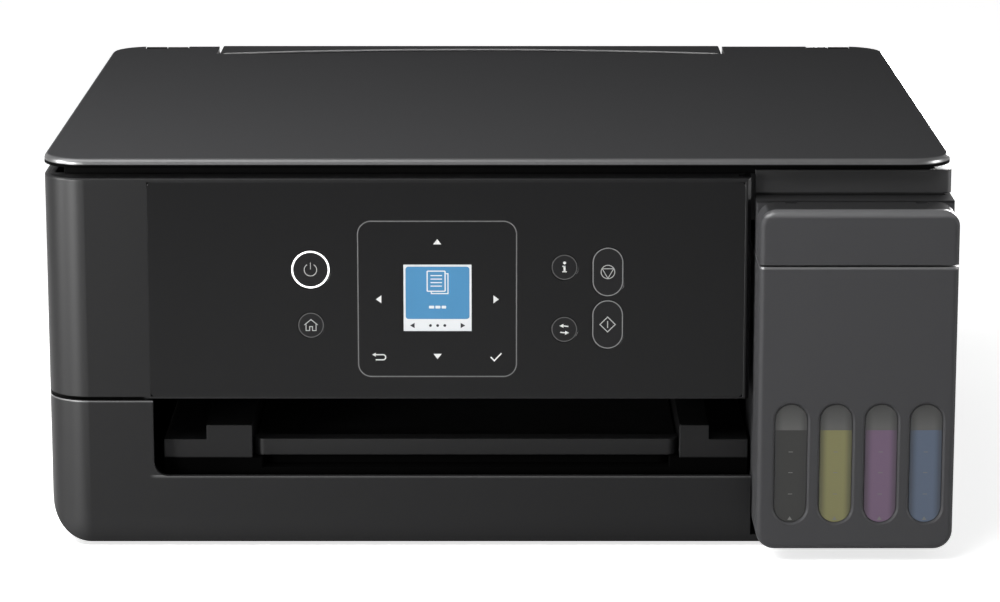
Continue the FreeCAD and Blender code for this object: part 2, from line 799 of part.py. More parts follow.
def make_screws():
    body = new_body("housing_screws")
    body.AllowCompound = True
    screws = screw_spots()
    add(body, "XZ", rear - back.head_thick, rear - m.running, *[disc(x, z, back.screw_head) for x, z in screws])
    add(body, "XZ", rear - back.screw_long, rear - back.head_thick,
        *[disc(x, z, back.screw_radius) for x, z in screws])


def make_right_housing():
    body = new_body("right_housing")
    start, end = tank_rear + m.slack, rear_front
    top = scan.strip_bottom - back.skirt_gap
    inner = right - m.wall
    add(body, "YZ", inner, right, rect(start, end, m.seam, top))
    rib = add(body, "YZ", inner - back.rib_deep, inner,
              rect(start + m.corner, start + m.corner + back.rib_thick, m.seam + m.wall, m.tub_bottom - m.wall))
    repeat(body, [rib], "Y", back.rib_count, end - start - 2 * m.corner)


feet = cells(foot_radius=8.0, foot_x=160.0, foot_front=118.0, foot_rear=145.0)


def make_feet():
    body = new_body("feet")
    body.AllowCompound = True
    spots = [(x, y) for x in (-feet.foot_x, feet.foot_x) for y in (-feet.foot_front, feet.foot_rear)]
    add(body, "XY", 0, m.foot, *[disc(x, y, feet.foot_radius) for x, y in spots])
    chamfer(body, m.foot / 4, edge(z=0))


make_rear_housing()
make_screws()
make_right_housing()
make_feet()


# Tank unit: housing with pill windows, hinged cover, reservoirs and their caps

tank = cells(
    tank_round=8.0,       # lower corners seen from the front
    cover_round=7.0,      # upper corners seen from the front
    face_round=2.4,       # rounding round the front face
    cover_gap=0.4,        # half of the gap under the cover
    ledge_front=21.9,     # fixed ledge behind the cover, from the tank front
    ledge_rear=35.0,
    axis_in=18.5,         # cover hinge line, from the tank front
    axis_drop=2.9,        # and below the top
    cover_pin=1.2,
    cover_lug=2.4,        # radius of the fixed lugs
    cover_lug_in=12.0,    # lugs in from the tank's sides
    cover_lug_wide=4.0,
    first_window=122.0,   # X of the first window's middle
    pitch=18.7,           # window to window
    window_radius=6.85,
    window_low_z=17.3,
    window_high_z=68.2,
    bezel=0.9,
    tank_side=8.3,        # half width of a reservoir
    tank_wall=1.4,
    port_in=10.5,         # filling ports, from the tank front
    neck_radius=4.5,
    neck_bore=2.9,
    neck_top=131.0,
    cap_radius=5.6,
    cap_thick=2.8,
    cap_gap=0.2,
    cap_arm=3.0,          # half width of the cap's arm
    cap_axis_in=17.0,     # cap hinge rod, from the tank front
    cap_axis_z=132.6,
    cap_rod=1.0,
    cap_barrel=2.0,
    cap_plug=2.0,
    plug_deep=1.5,
    post_half=0.5,       # posts that carry the caps' rod
    post_play=0.25,
)
windows = [tank.first_window + i * tank.pitch for i in range(4)]
tank_deck = m.cover_seam - tank.cover_gap
ledge_y = tank_front + tank.ledge_front
ledge_end = tank_front + tank.ledge_rear
axis_y = tank_front + tank.axis_in
axis_z = m.tank_top - tank.axis_drop
port_y = tank_front + tank.port_in
cap_y = tank_front + tank.cap_axis_in
tank_right = right
cover_lugs = [m.tank_left + tank.cover_lug_in, tank_right - tank.cover_lug_in - tank.cover_lug_wide]
reservoir_top = tank_deck - m.wall - m.slack


def front_rim(skipped_z):
    """Test for the edges round the tank's front face, apart from the level one at skipped_z."""
    def test(item):
        ends = [vertex.Point for vertex in item.Vertexes]
        on_face = all(abs(end.y - tank_front.value) < 0.01 for end in ends)
        skipped = all(abs(end.z - skipped_z.value) < 0.01 for end in ends)
        return on_face and not skipped
    return test


def make_tank_housing():
    body = new_body("tank_housing")
    add(body, "YZ", m.tank_left, tank_right, poly(
        (tank_front, m.tank_bottom), (tank_rear, m.tank_bottom), (tank_rear, tank_deck), (ledge_end, tank_deck),
        (ledge_end, m.tank_top), (ledge_y, m.tank_top), (ledge_y, tank_deck), (tank_front, tank_deck)))
    fillet(body, tank.tank_round, edge(x=m.tank_left, z=m.tank_bottom, along="y"),
           edge(x=tank_right, z=m.tank_bottom, along="y"))
    fillet(body, tank.face_round, front_rim(tank_deck))
    inner_left, inner_right = m.tank_left + m.wall, tank_right - m.wall
    cut(body, "YZ", inner_left, inner_right, rect(
        tank_front + m.wall, tank_rear + m.wall, m.tank_bottom + m.wall, tank_deck - m.wall))
    cut(body, "YZ", inner_left, inner_right, rect(
        ledge_y + m.wall, ledge_end - m.wall, tank_deck - 2 * m.wall, m.tank_top - m.wall))
    add(body, "YZ", inner_right, tank_right, rect(ledge_end - m.wall, tank_rear, tank_deck - m.wall, m.tank_top))
    cut(body, "XY", tank_deck - 2 * m.wall, tank_deck + m.wall,
        *[disc(x, port_y, tank.neck_radius + m.slack) for x in windows])
    cut(body, "XZ", tank_front, tank_front + 2 * m.wall, *[
        pill(x, tank.window_low_z, tank.window_high_z, tank.window_radius) for x in windows])

    def window_rim(item):
        ends = [vertex.Point for vertex in item.Vertexes]
        level = all(abs(end.y - tank_front.value) < 0.01 for end in ends)
        inside = all(tank.window_low_z.value - 0.1 < end.z < tank.window_high_z.value + 0.1 for end in ends)
        reach = tank.pitch.value / 2
        clear = windows[0].value - reach < item.CenterOfMass.x < windows[-1].value + reach
        return level and inside and clear

    chamfer(body, tank.bezel, window_rim)
    for lug in cover_lugs:
        lug_right = lug + tank.cover_lug_wide
        add(body, "YZ", lug, lug_right, disc(axis_y, axis_z, tank.cover_lug))
        add(body, "YZ", lug, lug_right, rect(
            axis_y, ledge_y, axis_z - tank.cover_lug / 2, axis_z + tank.cover_lug / 2))
        add(body, "YZ", lug - tank.cover_lug_wide, lug_right + tank.cover_lug_wide,
            disc(axis_y, axis_z, tank.cover_pin))
    posts = [windows[0] + (i - 0.5) * tank.pitch for i in range(4)]
    posts.append(inner_right - tank.post_half - tank.post_play)
    rod_gap = tank.cap_barrel
    add(body, "XY", tank_deck - m.wall / 2, tank.cap_axis_z + rod_gap, *[
        rect(x - tank.post_half, x + tank.post_half, cap_y - rod_gap, cap_y + rod_gap) for x in posts])
    add(body, "YZ", posts[0], posts[-1], disc(cap_y, tank.cap_axis_z, tank.cap_rod))


def make_tank_cover():
    body = new_body("tank_cover")
    low = m.cover_seam + tank.cover_gap
    add(body, "YZ", m.tank_left, tank_right, rect(tank_front, axis_y, low, m.tank_top))
    fillet(body, tank.cover_round, edge(x=m.tank_left, z=m.tank_top, along="y"),
           edge(x=tank_right, z=m.tank_top, along="y"))
    fillet(body, tank.face_round, front_rim(low))
    cut(body, "YZ", m.tank_left + m.wall, tank_right - m.wall, rect(
        tank_front + m.wall, axis_y + m.wall, low - m.wall, m.tank_top - m.wall))
    add(body, "YZ", m.tank_left + tank.cover_round, tank_right - tank.cover_round,
        disc(axis_y, axis_z, tank.axis_drop))
    for lug in cover_lugs:
        lug_right = lug + tank.cover_lug_wide
        room = tank.axis_drop + m.slack
        cut(body, "XY", axis_z - room, m.tank_top + m.wall,
            rect(lug - m.slack, lug_right + m.slack, axis_y - room, axis_y + room))
        cut(body, "YZ", lug - tank.cover_lug_wide - m.slack, lug_right + tank.cover_lug_wide + m.slack,
            disc(axis_y, axis_z, tank.cover_pin + m.running))


def make_reservoirs():
    body = new_body("ink_reservoirs")
    body.AllowCompound = True
    front_y = tank_front + m.wall + m.slack / 2
    rear_y = tank_rear - m.wall
    low = m.tank_bottom + m.wall + m.slack / 2
    face_y = tank_front + tank.bezel
    x = windows[0]
    inset = tank.tank_wall
    box = add(body, "XY", low, reservoir_top, rect(x - tank.tank_side, x + tank.tank_side, front_y, rear_y))
    play = m.slack / 2
    boss = add(body, "XZ", face_y, front_y + inset, pill(
        x, tank.window_low_z + play, tank.window_high_z - play, tank.window_radius - play))
    neck = add(body, "XY", reservoir_top - inset, tank.neck_top, disc(x, port_y, tank.neck_radius))
    hollow = cut(body, "XY", low + inset, reservoir_top - inset, rect(
        x - tank.tank_side + inset, x + tank.tank_side - inset, front_y + inset, rear_y - inset))
    sight = cut(body, "XZ", face_y + inset, front_y + 2 * inset, pill(
        x, tank.window_low_z + play + inset, tank.window_high_z - play - inset, tank.window_radius - play - inset))
    bore = cut(body, "XY", reservoir_top - 2 * inset, tank.neck_top, disc(x, port_y, tank.neck_bore))
    repeat(body, [box, boss, neck, hollow, sight, bore], "X", 4, 3 * tank.pitch)


def make_ink_cap(label, x):
    body = new_body(label)
    low = tank.neck_top + tank.cap_gap
    top = low + tank.cap_thick
    add(body, "XY", low, top, disc(x, port_y, tank.cap_radius))
    add(body, "XY", low, top, rect(x - tank.cap_arm, x + tank.cap_arm, port_y, cap_y))
    add(body, "XY", low - tank.plug_deep, low, disc(x, port_y, tank.cap_plug))
    half = tank.pitch / 2 - tank.cap_barrel / 2 - m.slack
    add(body, "YZ", x - half, x + half, disc(cap_y, tank.cap_axis_z, tank.cap_barrel))
    cut(body, "YZ", x - half - m.wall, x + half + m.wall, disc(cap_y, tank.cap_axis_z, tank.cap_rod + m.running))


make_tank_housing()
make_tank_cover()
make_reservoirs()
for cap_label, cap_x in zip(("black", "yellow", "magenta", "cyan"), windows):
    make_ink_cap(cap_label + "_ink_cap", cap_x)


# Rear paper feed: hopper, sliding support and the two edge guides, all on one leaning plane

feed = cells(
    support_top_y=162.5,  # front face of the support plate where it meets the lip
    lip_front=145.0,      # front edge of the lip that closes the mouth
    plate_left=-56.0,     # support plate
    plate_right=30.0,
    plate_thick=3.0,
    plate_long=104.0,
    scoop_radius=547.0,   # finger scoop, plan radius
    scoop_edge=160.0,     # deepest point of the scoop
    scoop_deep=1.5,
    lip_round=1.0,
    hopper_gap=0.6,
    hopper_thick=2.5,
    hopper_start=6.0,     # hopper plate, along the lean from the lip
    hopper_end=104.0,
    guide_reach=105.0,    # edge guide from the middle of the paper
    paper_middle=-13.5,
    guide_travel=60.0,
    fin_thick=2.0,
    fin_start=8.0,
    fin_end=60.0,
    fin_tall=8.0,
    guide_foot=14.0,
    foot_thick=2.0,
    tongue_at=30.0,       # slot for the guide's tongue, along the lean
    tongue_wide=6.0,
    hook_over=3.0,
    pickup_at=95.0,       # pickup roller, along the lean
    pickup_radius=14.0,
    pickup_gap=0.8,       # room for the sheets
    pickup_half=20.0,
    shaft_radius=3.0,
    cheek_low_front=8.0,  # side plates ahead of the pickup shaft
    cheek_over=14.0,
)


def leaning(along, out):
    """Point (y, z) on the feed's lean: along from the lip downwards, out towards the front."""
    sin_lean, cos_lean = sine(m.lean), cosine(m.lean)
    return (feed.support_top_y - sin_lean * along - cos_lean * out,
            lid_under - cos_lean * along + sin_lean * out)


def slab(start, end, low, high):
    """Rectangle on the leaning plane between two lengths along it and two heights out of it."""
    return poly(leaning(start, low), leaning(end, low), leaning(end, high), leaning(start, high))


hopper_face = -feed.plate_thick - feed.hopper_gap
hopper_back = hopper_face - feed.hopper_thick
pickup_y, pickup_z = leaning(feed.pickup_at, feed.pickup_radius + feed.pickup_gap)
cheek_left = lobe_left
cheek_right = lobe_right - m.wall


def make_paper_support():
    body = new_body("paper_support")
    plate_meet = feed.support_top_y + feed.plate_thick / cosine(m.lean)
    add(body, "YZ", m.support_left, m.support_right, rect(
        feed.lip_front, hinge_y + m.hinge_radius, lid_under, m.height))
    fillet(body, feed.lip_round, edge(x=m.support_left, z=m.height, along="y"),
           edge(x=m.support_right, z=m.height, along="y"))
    add(body, "YZ", feed.plate_left, feed.plate_right, poly(
        (feed.support_top_y, lid_under), leaning(feed.plate_long, as_size(0)),
        leaning(feed.plate_long, -feed.plate_thick), (plate_meet, lid_under)))
    middle = (m.support_left + m.support_right) / 2
    cut(body, "XY", m.height - feed.scoop_deep, m.height,
        disc(middle, feed.scoop_edge - feed.scoop_radius, feed.scoop_radius))


def guide_slot(side):
    """Left and right ends of the slot that a guide's tongue runs in."""
    inner = feed.guide_reach - feed.guide_travel - m.slack
    outer = feed.guide_reach + feed.guide_foot - m.slack
    ends = (feed.paper_middle + side * inner, feed.paper_middle + side * outer)
    return sorted(ends, key=lambda end: end.value)


def make_hopper():
    body = new_body("paper_hopper")
    add(body, "YZ", cheek_left, lobe_right, slab(feed.hopper_start, feed.hopper_end, hopper_back, hopper_face))
    top_y, top_z = leaning(feed.hopper_start, hopper_back)
    front_y = pickup_y - feed.cheek_low_front
    for cheek in (cheek_left, cheek_right):
        add(body, "YZ", cheek, cheek + m.wall, poly(
            (top_y, top_z), (front_y, pickup_z + feed.cheek_over), (front_y, floor), (top_y, floor)))
    for side in (-1, 1):
        start, end = guide_slot(side)
        cut(body, "YZ", start, end, slab(
            feed.tongue_at, feed.tongue_at + feed.tongue_wide, hopper_back - m.wall, hopper_face + m.wall))
    cut(body, "YZ", cheek_left - m.wall, lobe_right + m.wall, disc(pickup_y, pickup_z, feed.shaft_radius + m.running))


def make_edge_guide(label, side):
    """L-shaped guide: fin beside the paper, foot on the hopper, hooked tongue through its slot."""
    body = new_body(label)

    def span(near, far):
        ends = (feed.paper_middle + side * (feed.guide_reach + near), feed.paper_middle + side * (feed.guide_reach + far))
        return sorted(ends, key=lambda end: end.value)

    base = hopper_face + m.slack / 2
    add(body, "YZ", *span(0, feed.fin_thick), slab(feed.fin_start, feed.fin_end, base, feed.fin_tall))
    add(body, "YZ", *span(0, feed.guide_foot), slab(
        feed.fin_start, feed.fin_end, base, base + feed.foot_thick))
    tongue = span(feed.fin_thick, feed.guide_foot - feed.fin_thick)
    play = m.slack / 2
    add(body, "YZ", *tongue, slab(
        feed.tongue_at + play, feed.tongue_at + feed.tongue_wide - play, hopper_back - feed.foot_thick, base))
    add(body, "YZ", *tongue, slab(
        feed.tongue_at - feed.hook_over, feed.tongue_at + feed.tongue_wide + feed.hook_over,
        hopper_back - feed.foot_thick - play, hopper_back - play))


def make_pickup_roller():
    body = new_body("pickup_roller")
    turn(body, (cheek_left, 0), (cheek_left, feed.shaft_radius),
         (feed.paper_middle - feed.pickup_half, feed.shaft_radius),
         (feed.paper_middle - feed.pickup_half, feed.pickup_radius),
         (feed.paper_middle + feed.pickup_half, feed.pickup_radius),
         (feed.paper_middle + feed.pickup_half, feed.shaft_radius),
         (lobe_right, feed.shaft_radius), (lobe_right, 0))
    place(body, y=pickup_y, z=pickup_z)


make_paper_support()
make_hopper()
make_edge_guide("edge_guide_left", -1)
make_edge_guide("edge_guide_right", 1)
make_pickup_roller()


# Output: stepped guide, tray and extension

out = cells(
    guide_front=11.0,      # guide behind the body front
    guide_long=93.0,       # stepped blocks
    guide_rear=58.0,       # rear end of the rails
    block_left=-141.6,
    block_step_left=-123.5,
    block_low=43.8,
    block_high=50.0,
    tray_left=-103.4,
    tray_right=76.7,
    tray_play=0.8,
    block_step_right=90.0,
    block_right=106.5,
    rail_wide=4.2,
    rail_top=35.6,
    bed_top=31.5,
    bed_low=28.5,
    leg_thick=3.0,
    tray_front=15.0,       # tray behind the body front
    tray_low=36.0,
    tray_plate=3.5,
    tray_lip_top=43.0,
    tray_lip_deep=8.0,
    tray_round=4.0,
    extension_thick=3.2,
    extension_long=150.0,
    extension_back=2.0,    # extension behind the tray's front
)
bay_left = out.tray_left - out.tray_play
bay_right = out.tray_right + out.tray_play
tray_y = front + out.tray_front


def make_output_guide():
    body = new_body("output_guide")
    guide_y = front + out.guide_front
    blocks_end = guide_y + out.guide_long
    bed = [(bay_left, out.rail_top), (bay_left + out.rail_wide, out.rail_top), (bay_left + out.rail_wide, out.bed_top),
           (bay_right - out.rail_wide, out.bed_top), (bay_right - out.rail_wide, out.rail_top),
           (bay_right, out.rail_top)]
    add(body, "XZ", guide_y, blocks_end, poly(
        (out.block_left, floor), (out.block_left, out.block_low), (out.block_step_left, out.block_low),
        (out.block_step_left, out.block_high), (bay_left, out.block_high), *bed,
        (bay_right, out.block_high), (out.block_step_right, out.block_high),
        (out.block_step_right, out.block_low), (out.block_right, out.block_low), (out.block_right, floor),
        (out.block_right - out.leg_thick, floor), (out.block_right - out.leg_thick, out.bed_low),
        (out.block_left + out.leg_thick, out.bed_low), (out.block_left + out.leg_thick, floor)))
    add(body, "XZ", blocks_end, out.guide_rear, poly((bay_left, out.bed_low), *bed, (bay_right, out.bed_low)))


def make_tray():
    body = new_body("output_tray")
    lip_rear = tray_y + out.tray_lip_deep
    add(body, "XY", out.tray_low, out.tray_low + out.tray_plate, rect(
        out.tray_left, out.tray_right, tray_y, out.guide_rear))
    add(body, "XY", out.tray_low, out.tray_lip_top, rect(out.tray_left, out.tray_right, tray_y, lip_rear))
    fillet(body, out.tray_round, edge(x=out.tray_left, y=tray_y, along="z"), edge(x=out.tray_right, y=tray_y, along="z"))
    extension = new_body("tray_extension")
    side = out.rail_wide + m.slack
    start = tray_y + out.extension_back
    add(extension, "XY", out.bed_top + m.slack, out.bed_top + m.slack + out.extension_thick, rect(
        bay_left + side, bay_right - side, start, start + out.extension_long))
    fillet(extension, out.tray_round, edge(x=bay_left + side, y=start, along="z"),
           edge(x=bay_right - side, y=start, along="z"))


make_output_guide()
make_tray()


# Print engine: chassis, rollers with their gear train, carriage with belt drive

drive = cells(
    side_x=170.0,        # inner faces of the chassis sides, from the middle
    metal=1.5,
    frame_front=-10.0,
    frame_rear=95.0,
    frame_gate=64.0,     # paper passes under the rear plate
    cheek_x=-156.0,      # inner cheek that carries the small wheels' shafts
    cheek_low=55.5,
    cheek_high=70.0,
    chassis_top=122.0,
    feed_y=62.0,
    feed_z=50.0,
    roller_radius=6.0,
    core_radius=4.0,
    roller_left=-125.0,
    roller_right=94.0,
    gear_module=1.0,
    feed_teeth=40,
    idler_teeth=20,
    pinion_teeth=12,
    gear_play=0.3,
    gear_side=2.0,       # gears from the chassis side
    gear_wide=8.0,
    stud_radius=2.5,
    nip=0.3,             # room at the rollers' nips
    pinch_radius=3.0,
    star_radius=4.0,
    thin_shaft=1.5,
    wheel_count=6,
    motor_radius=13.0,
    motor_long=26.0,
    motor_gap=2.0,
    motor_post=2.0,
    post_at=7.07,        # posts beside the motor's shaft, along Y and Z
    shaft_y=78.0,        # carriage shaft
    shaft_z=82.0,
    rail_radius=4.0,
    carriage_left=96.0,
    carriage_wide=70.0,
    carriage_front=11.0,
    carriage_rear=54.0,
    carriage_low=60.0,
    carriage_high=110.0,
    carriage_wall=2.0,
    boss_out=8.0,
    arm_half=7.0,
    head_front=18.0,
    head_rear=46.0,
    head_side=12.0,
    head_drop=2.6,
    belt_y=87.0,
    belt_wide=4.0,
    belt_z=106.0,
    belt_thick=1.0,
    pulley_x=158.0,
    pulley_radius=6.0,
    flange_over=1.6,
    jaw_half=10.0,
    jaw_tall=2.6,
)
span = drive.side_x + drive.metal
gear_left = -drive.side_x + drive.gear_side
gear_right = gear_left + drive.gear_wide
mesh = (drive.feed_teeth + drive.idler_teeth) * drive.gear_module / 2
idler_y = drive.feed_y - mesh
eject_y = idler_y - mesh
pinion_reach = (drive.feed_teeth + drive.pinion_teeth) * drive.gear_module / 2 * math.sqrt(0.5)
pinion_y = drive.feed_y + pinion_reach
pinion_z = drive.feed_z - pinion_reach
motor_left = gear_right + drive.motor_gap
pinch_z = drive.feed_z + drive.roller_radius + drive.nip + drive.pinch_radius
star_z = drive.feed_z + drive.roller_radius + drive.nip + drive.star_radius
belt_rear = drive.belt_y + drive.belt_wide
belt_inner = drive.pulley_radius + drive.nip
belt_outer = belt_inner + drive.belt_thick
carriage_right = drive.carriage_left + drive.carriage_wide


def make_chassis():
    body = new_body("chassis")
    plate_front = drive.frame_rear - drive.metal
    add(body, "XY", floor, drive.chassis_top, rect(-span, span, drive.frame_front, drive.frame_rear))
    cut(body, "XY", floor, drive.chassis_top, rect(
        -drive.side_x, drive.side_x, drive.frame_front - m.wall, plate_front))
    cut(body, "XZ", plate_front - m.wall, drive.frame_rear + m.wall, rect(
        -drive.side_x, drive.side_x, floor - m.wall, drive.frame_gate))
    journals = [(drive.feed_y, drive.feed_z, feed.shaft_radius), (eject_y, drive.feed_z, feed.shaft_radius),
                (drive.shaft_y, drive.shaft_z, drive.rail_radius - m.running)]
    cut(body, "YZ", -span - m.wall, span + m.wall, *[disc(y, z, r + m.running) for y, z, r in journals])
    add(body, "YZ", drive.cheek_x, drive.cheek_x + drive.metal, rect(
        drive.frame_front, plate_front, drive.cheek_low, drive.cheek_high))
    cut(body, "YZ", drive.cheek_x - m.wall, span + m.wall, *[
        disc(y, z, drive.thin_shaft + m.running) for y, z in ((drive.feed_y, pinch_z), (eject_y, star_z))])
    cut(body, "XZ", plate_front - m.wall, drive.frame_rear + m.wall, disc(
        drive.pulley_x, drive.belt_z, drive.stud_radius))
    add(body, "YZ", -drive.side_x, gear_right, disc(idler_y, drive.feed_z, drive.stud_radius))
    add(body, "YZ", -drive.side_x, motor_left, *[
        disc(pinion_y + side * drive.post_at, pinion_z + side * drive.post_at, drive.motor_post) for side in (-1, 1)])
    add(body, "XZ", drive.belt_y, plate_front, disc(-drive.pulley_x, drive.belt_z, drive.thin_shaft))


def roller_profile(radius):
    """Roller with thin journals in the chassis and a thicker core carrying the paper's width."""
    return [(-span, 0), (-span, feed.shaft_radius), (gear_left, feed.shaft_radius), (gear_left, drive.core_radius),
            (drive.roller_left, drive.core_radius), (drive.roller_left, radius), (drive.roller_right, radius),
            (drive.roller_right, drive.core_radius), (drive.side_x - drive.gear_side, drive.core_radius),
            (drive.side_x - drive.gear_side, feed.shaft_radius), (span, feed.shaft_radius), (span, 0)]


def make_rollers():
    for label, y in (("feed_roller", drive.feed_y), ("eject_roller", eject_y)):
        body = new_body(label)
        turn(body, *roller_profile(drive.roller_radius))
        toothed(body, gear_left, gear_right, drive.feed_teeth, drive.gear_module, drive.gear_play)
        place(body, y=y, z=drive.feed_z)
    idler = new_body("idler_gear")
    toothed(idler, gear_left, gear_right, drive.idler_teeth, drive.gear_module, drive.gear_play)
    cut(idler, "YZ", gear_left - m.wall, gear_right + m.wall, disc(0, 0, drive.stud_radius + m.running))
    place(idler, y=idler_y, z=drive.feed_z, roll=180 / drive.idler_teeth)
    pinion = new_body("motor_pinion")
    toothed(pinion, gear_left, gear_right, drive.pinion_teeth, drive.gear_module, drive.gear_play)
    add(pinion, "YZ", gear_left, motor_left + drive.motor_long / 2, disc(0, 0, drive.thin_shaft))
    place(pinion, y=pinion_y, z=pinion_z)


def wheels_on_shaft(label, y, z, radius, half_width):
    """Thin shaft between the chassis cheek and side with small wheels over the paper."""
    body = new_body(label)
    add(body, "YZ", drive.cheek_x, span, disc(0, 0, drive.thin_shaft))
    first = drive.roller_left + 2 * drive.gear_wide
    row = drive.roller_right - drive.roller_left - 4 * drive.gear_wide
    wheel = add(body, "YZ", first - half_width, first + half_width, disc(0, 0, radius))
    repeat(body, [wheel], "X", drive.wheel_count, row)
    place(body, y=y, z=z)


def make_motors():
    body = new_body("feed_motor")
    add(body, "YZ", motor_left, motor_left + drive.motor_long, disc(pinion_y, pinion_z, drive.motor_radius))
    cut(body, "YZ", motor_left, motor_left + drive.motor_long / 2 + m.wall,
        disc(pinion_y, pinion_z, drive.thin_shaft + m.running))
    chamfer(body, m.wall / 2, edge(x=motor_left + drive.motor_long))
    other = new_body("carriage_motor")
    start = drive.frame_rear
    add(other, "XZ", start, start + drive.motor_long, disc(drive.pulley_x, drive.belt_z, drive.motor_radius))
    cut(other, "XZ", start, start + drive.motor_long / 2 + m.wall,
        disc(drive.pulley_x, drive.belt_z, drive.thin_shaft + m.running))
    chamfer(other, m.wall / 2, edge(y=start + drive.motor_long))


def make_belt_drive():
    flange_front = drive.belt_y - m.slack - drive.metal
    for label, x in (("motor_pulley", drive.pulley_x), ("idle_pulley", -drive.pulley_x)):
        body = new_body(label)
        add(body, "XZ", drive.belt_y - m.slack, belt_rear, disc(x, drive.belt_z, drive.pulley_radius))
        add(body, "XZ", flange_front, drive.belt_y - m.slack,
            disc(x, drive.belt_z, drive.pulley_radius + drive.flange_over))
        if label == "motor_pulley":
            add(body, "XZ", belt_rear, drive.frame_rear + drive.motor_long / 2,
                disc(x, drive.belt_z, drive.thin_shaft))
        else:
            cut(body, "XZ", flange_front, belt_rear, disc(x, drive.belt_z, drive.thin_shaft + m.running))
    belt = new_body("drive_belt")
    ends = (-drive.pulley_x, drive.pulley_x)
    add(belt, "XZ", drive.belt_y, belt_rear, rect(*ends, drive.belt_z - belt_outer, drive.belt_z + belt_outer))
    add(belt, "XZ", drive.belt_y, belt_rear, *[disc(x, drive.belt_z, belt_outer) for x in ends])
    cut(belt, "XZ", drive.belt_y, belt_rear, rect(*ends, drive.belt_z - belt_inner, drive.belt_z + belt_inner))
    cut(belt, "XZ", drive.belt_y, belt_rear, *[disc(x, drive.belt_z, belt_inner) for x in ends])


def make_carriage():
    body = new_body("carriage")
    low, high = drive.carriage_low, drive.carriage_high
    add(body, "YZ", drive.carriage_left, carriage_right, poly(
        (drive.carriage_front, low), (drive.carriage_rear, low),
        (drive.carriage_rear, high), (drive.carriage_front, high - 2 * drive.boss_out)))
    cut(body, "XY", low + drive.carriage_wall, high + m.wall, rect(
        drive.carriage_left + drive.carriage_wall, carriage_right - drive.carriage_wall,
        drive.carriage_front + drive.carriage_wall, drive.carriage_rear - drive.carriage_wall))
    add(body, "YZ", drive.carriage_left, carriage_right, rect(
        drive.carriage_rear, drive.shaft_y, drive.shaft_z - drive.arm_half, drive.shaft_z + drive.arm_half))
    add(body, "YZ", drive.carriage_left, carriage_right, disc(drive.shaft_y, drive.shaft_z, drive.boss_out))
    cut(body, "YZ", drive.carriage_left - m.wall, carriage_right + m.wall,
        disc(drive.shaft_y, drive.shaft_z, drive.rail_radius + m.running))
    middle = drive.carriage_left + drive.carriage_wide / 2
    jaws = (middle - drive.jaw_half, middle + drive.jaw_half)
    run_low = drive.belt_z - belt_outer - m.slack
    run_high = drive.belt_z - belt_inner + m.slack
    web_front = drive.shaft_y + drive.rail_radius
    web_rear = drive.belt_y - m.slack
    add(body, "YZ", *jaws, rect(web_front, web_rear, drive.shaft_z, run_high + drive.jaw_tall))
    for start in (run_low - drive.jaw_tall, run_high):
        add(body, "YZ", *jaws, rect(web_rear - m.slack, belt_rear, start, start + drive.jaw_tall))
    head = new_body("print_head")
    add(head, "XY", low - drive.head_drop, low, rect(
        drive.carriage_left + drive.head_side, carriage_right - drive.head_side, drive.head_front, drive.head_rear))
    chamfer(head, drive.head_drop / 2, edge(z=low - drive.head_drop))
    rod = new_body("carriage_shaft")
    add(rod, "YZ", -span, span, disc(drive.shaft_y, drive.shaft_z, drive.rail_radius))


make_chassis()
make_rollers()
wheels_on_shaft("pinch_rollers", drive.feed_y, pinch_z, drive.pinch_radius, drive.gear_wide / 2)
wheels_on_shaft("star_wheels", eject_y, star_z, drive.star_radius, drive.metal / 2)
make_motors()
make_belt_drive()
make_carriage()


# Platen, capping station, pad, boards and sockets

inside = cells(
    platen_front=11.0,
    platen_rear=53.0,
    platen_top=54.0,
    platen_thick=6.0,
    platen_leg=5.0,
    rib_tall=1.5,
    platen_ribs=12,
    cap_front=14.0,
    cap_rear=50.0,
    cap_top=56.4,
    cap_rim=2.0,
    cap_well=8.0,
    pad_left=116.0,
    pad_wide=48.0,
    pad_front=98.0,
    pad_long=34.0,
    pad_tall=26.0,
    main_left=-118.0,
    main_wide=176.0,
    main_front=68.0,
    main_long=33.0,
    main_up=4.0,
    supply_left=-128.0,
    supply_wide=100.0,
    supply_deep=38.0,
    supply_tall=46.0,
    socket_play=0.2,
    socket_deep=9.0,
    socket_wall=2.0,
)


def make_platen():
    body = new_body("platen")
    low = inside.platen_top - inside.platen_thick
    add(body, "XY", low, inside.platen_top, rect(
        drive.roller_left, drive.roller_right, inside.platen_front, inside.platen_rear))
    legs = [(drive.roller_left, drive.roller_left + inside.platen_leg),
            (drive.roller_right - inside.platen_leg, drive.roller_right)]
    for start, end in legs:
        add(body, "XY", floor, low, rect(start, end, inside.platen_front, inside.platen_rear))
    margin = 2 * inside.platen_leg
    rib = add(body, "XY", inside.platen_top, inside.platen_top + inside.rib_tall, rect(
        drive.roller_left + margin, drive.roller_left + margin + inside.rib_tall,
        inside.platen_front, inside.platen_rear))
    repeat(body, [rib], "X", inside.platen_ribs, drive.roller_right - drive.roller_left - 2 * margin)


def make_capping_station():
    body = new_body("capping_station")
    start, end = drive.carriage_left + drive.head_side, carriage_right - drive.head_side
    add(body, "XY", floor, inside.cap_top, rect(start, end, inside.cap_front, inside.cap_rear))
    rim = inside.cap_rim
    cut(body, "XY", inside.cap_top - inside.cap_well, inside.cap_top, rect(
        start + rim, end - rim, inside.cap_front + rim, inside.cap_rear - rim))


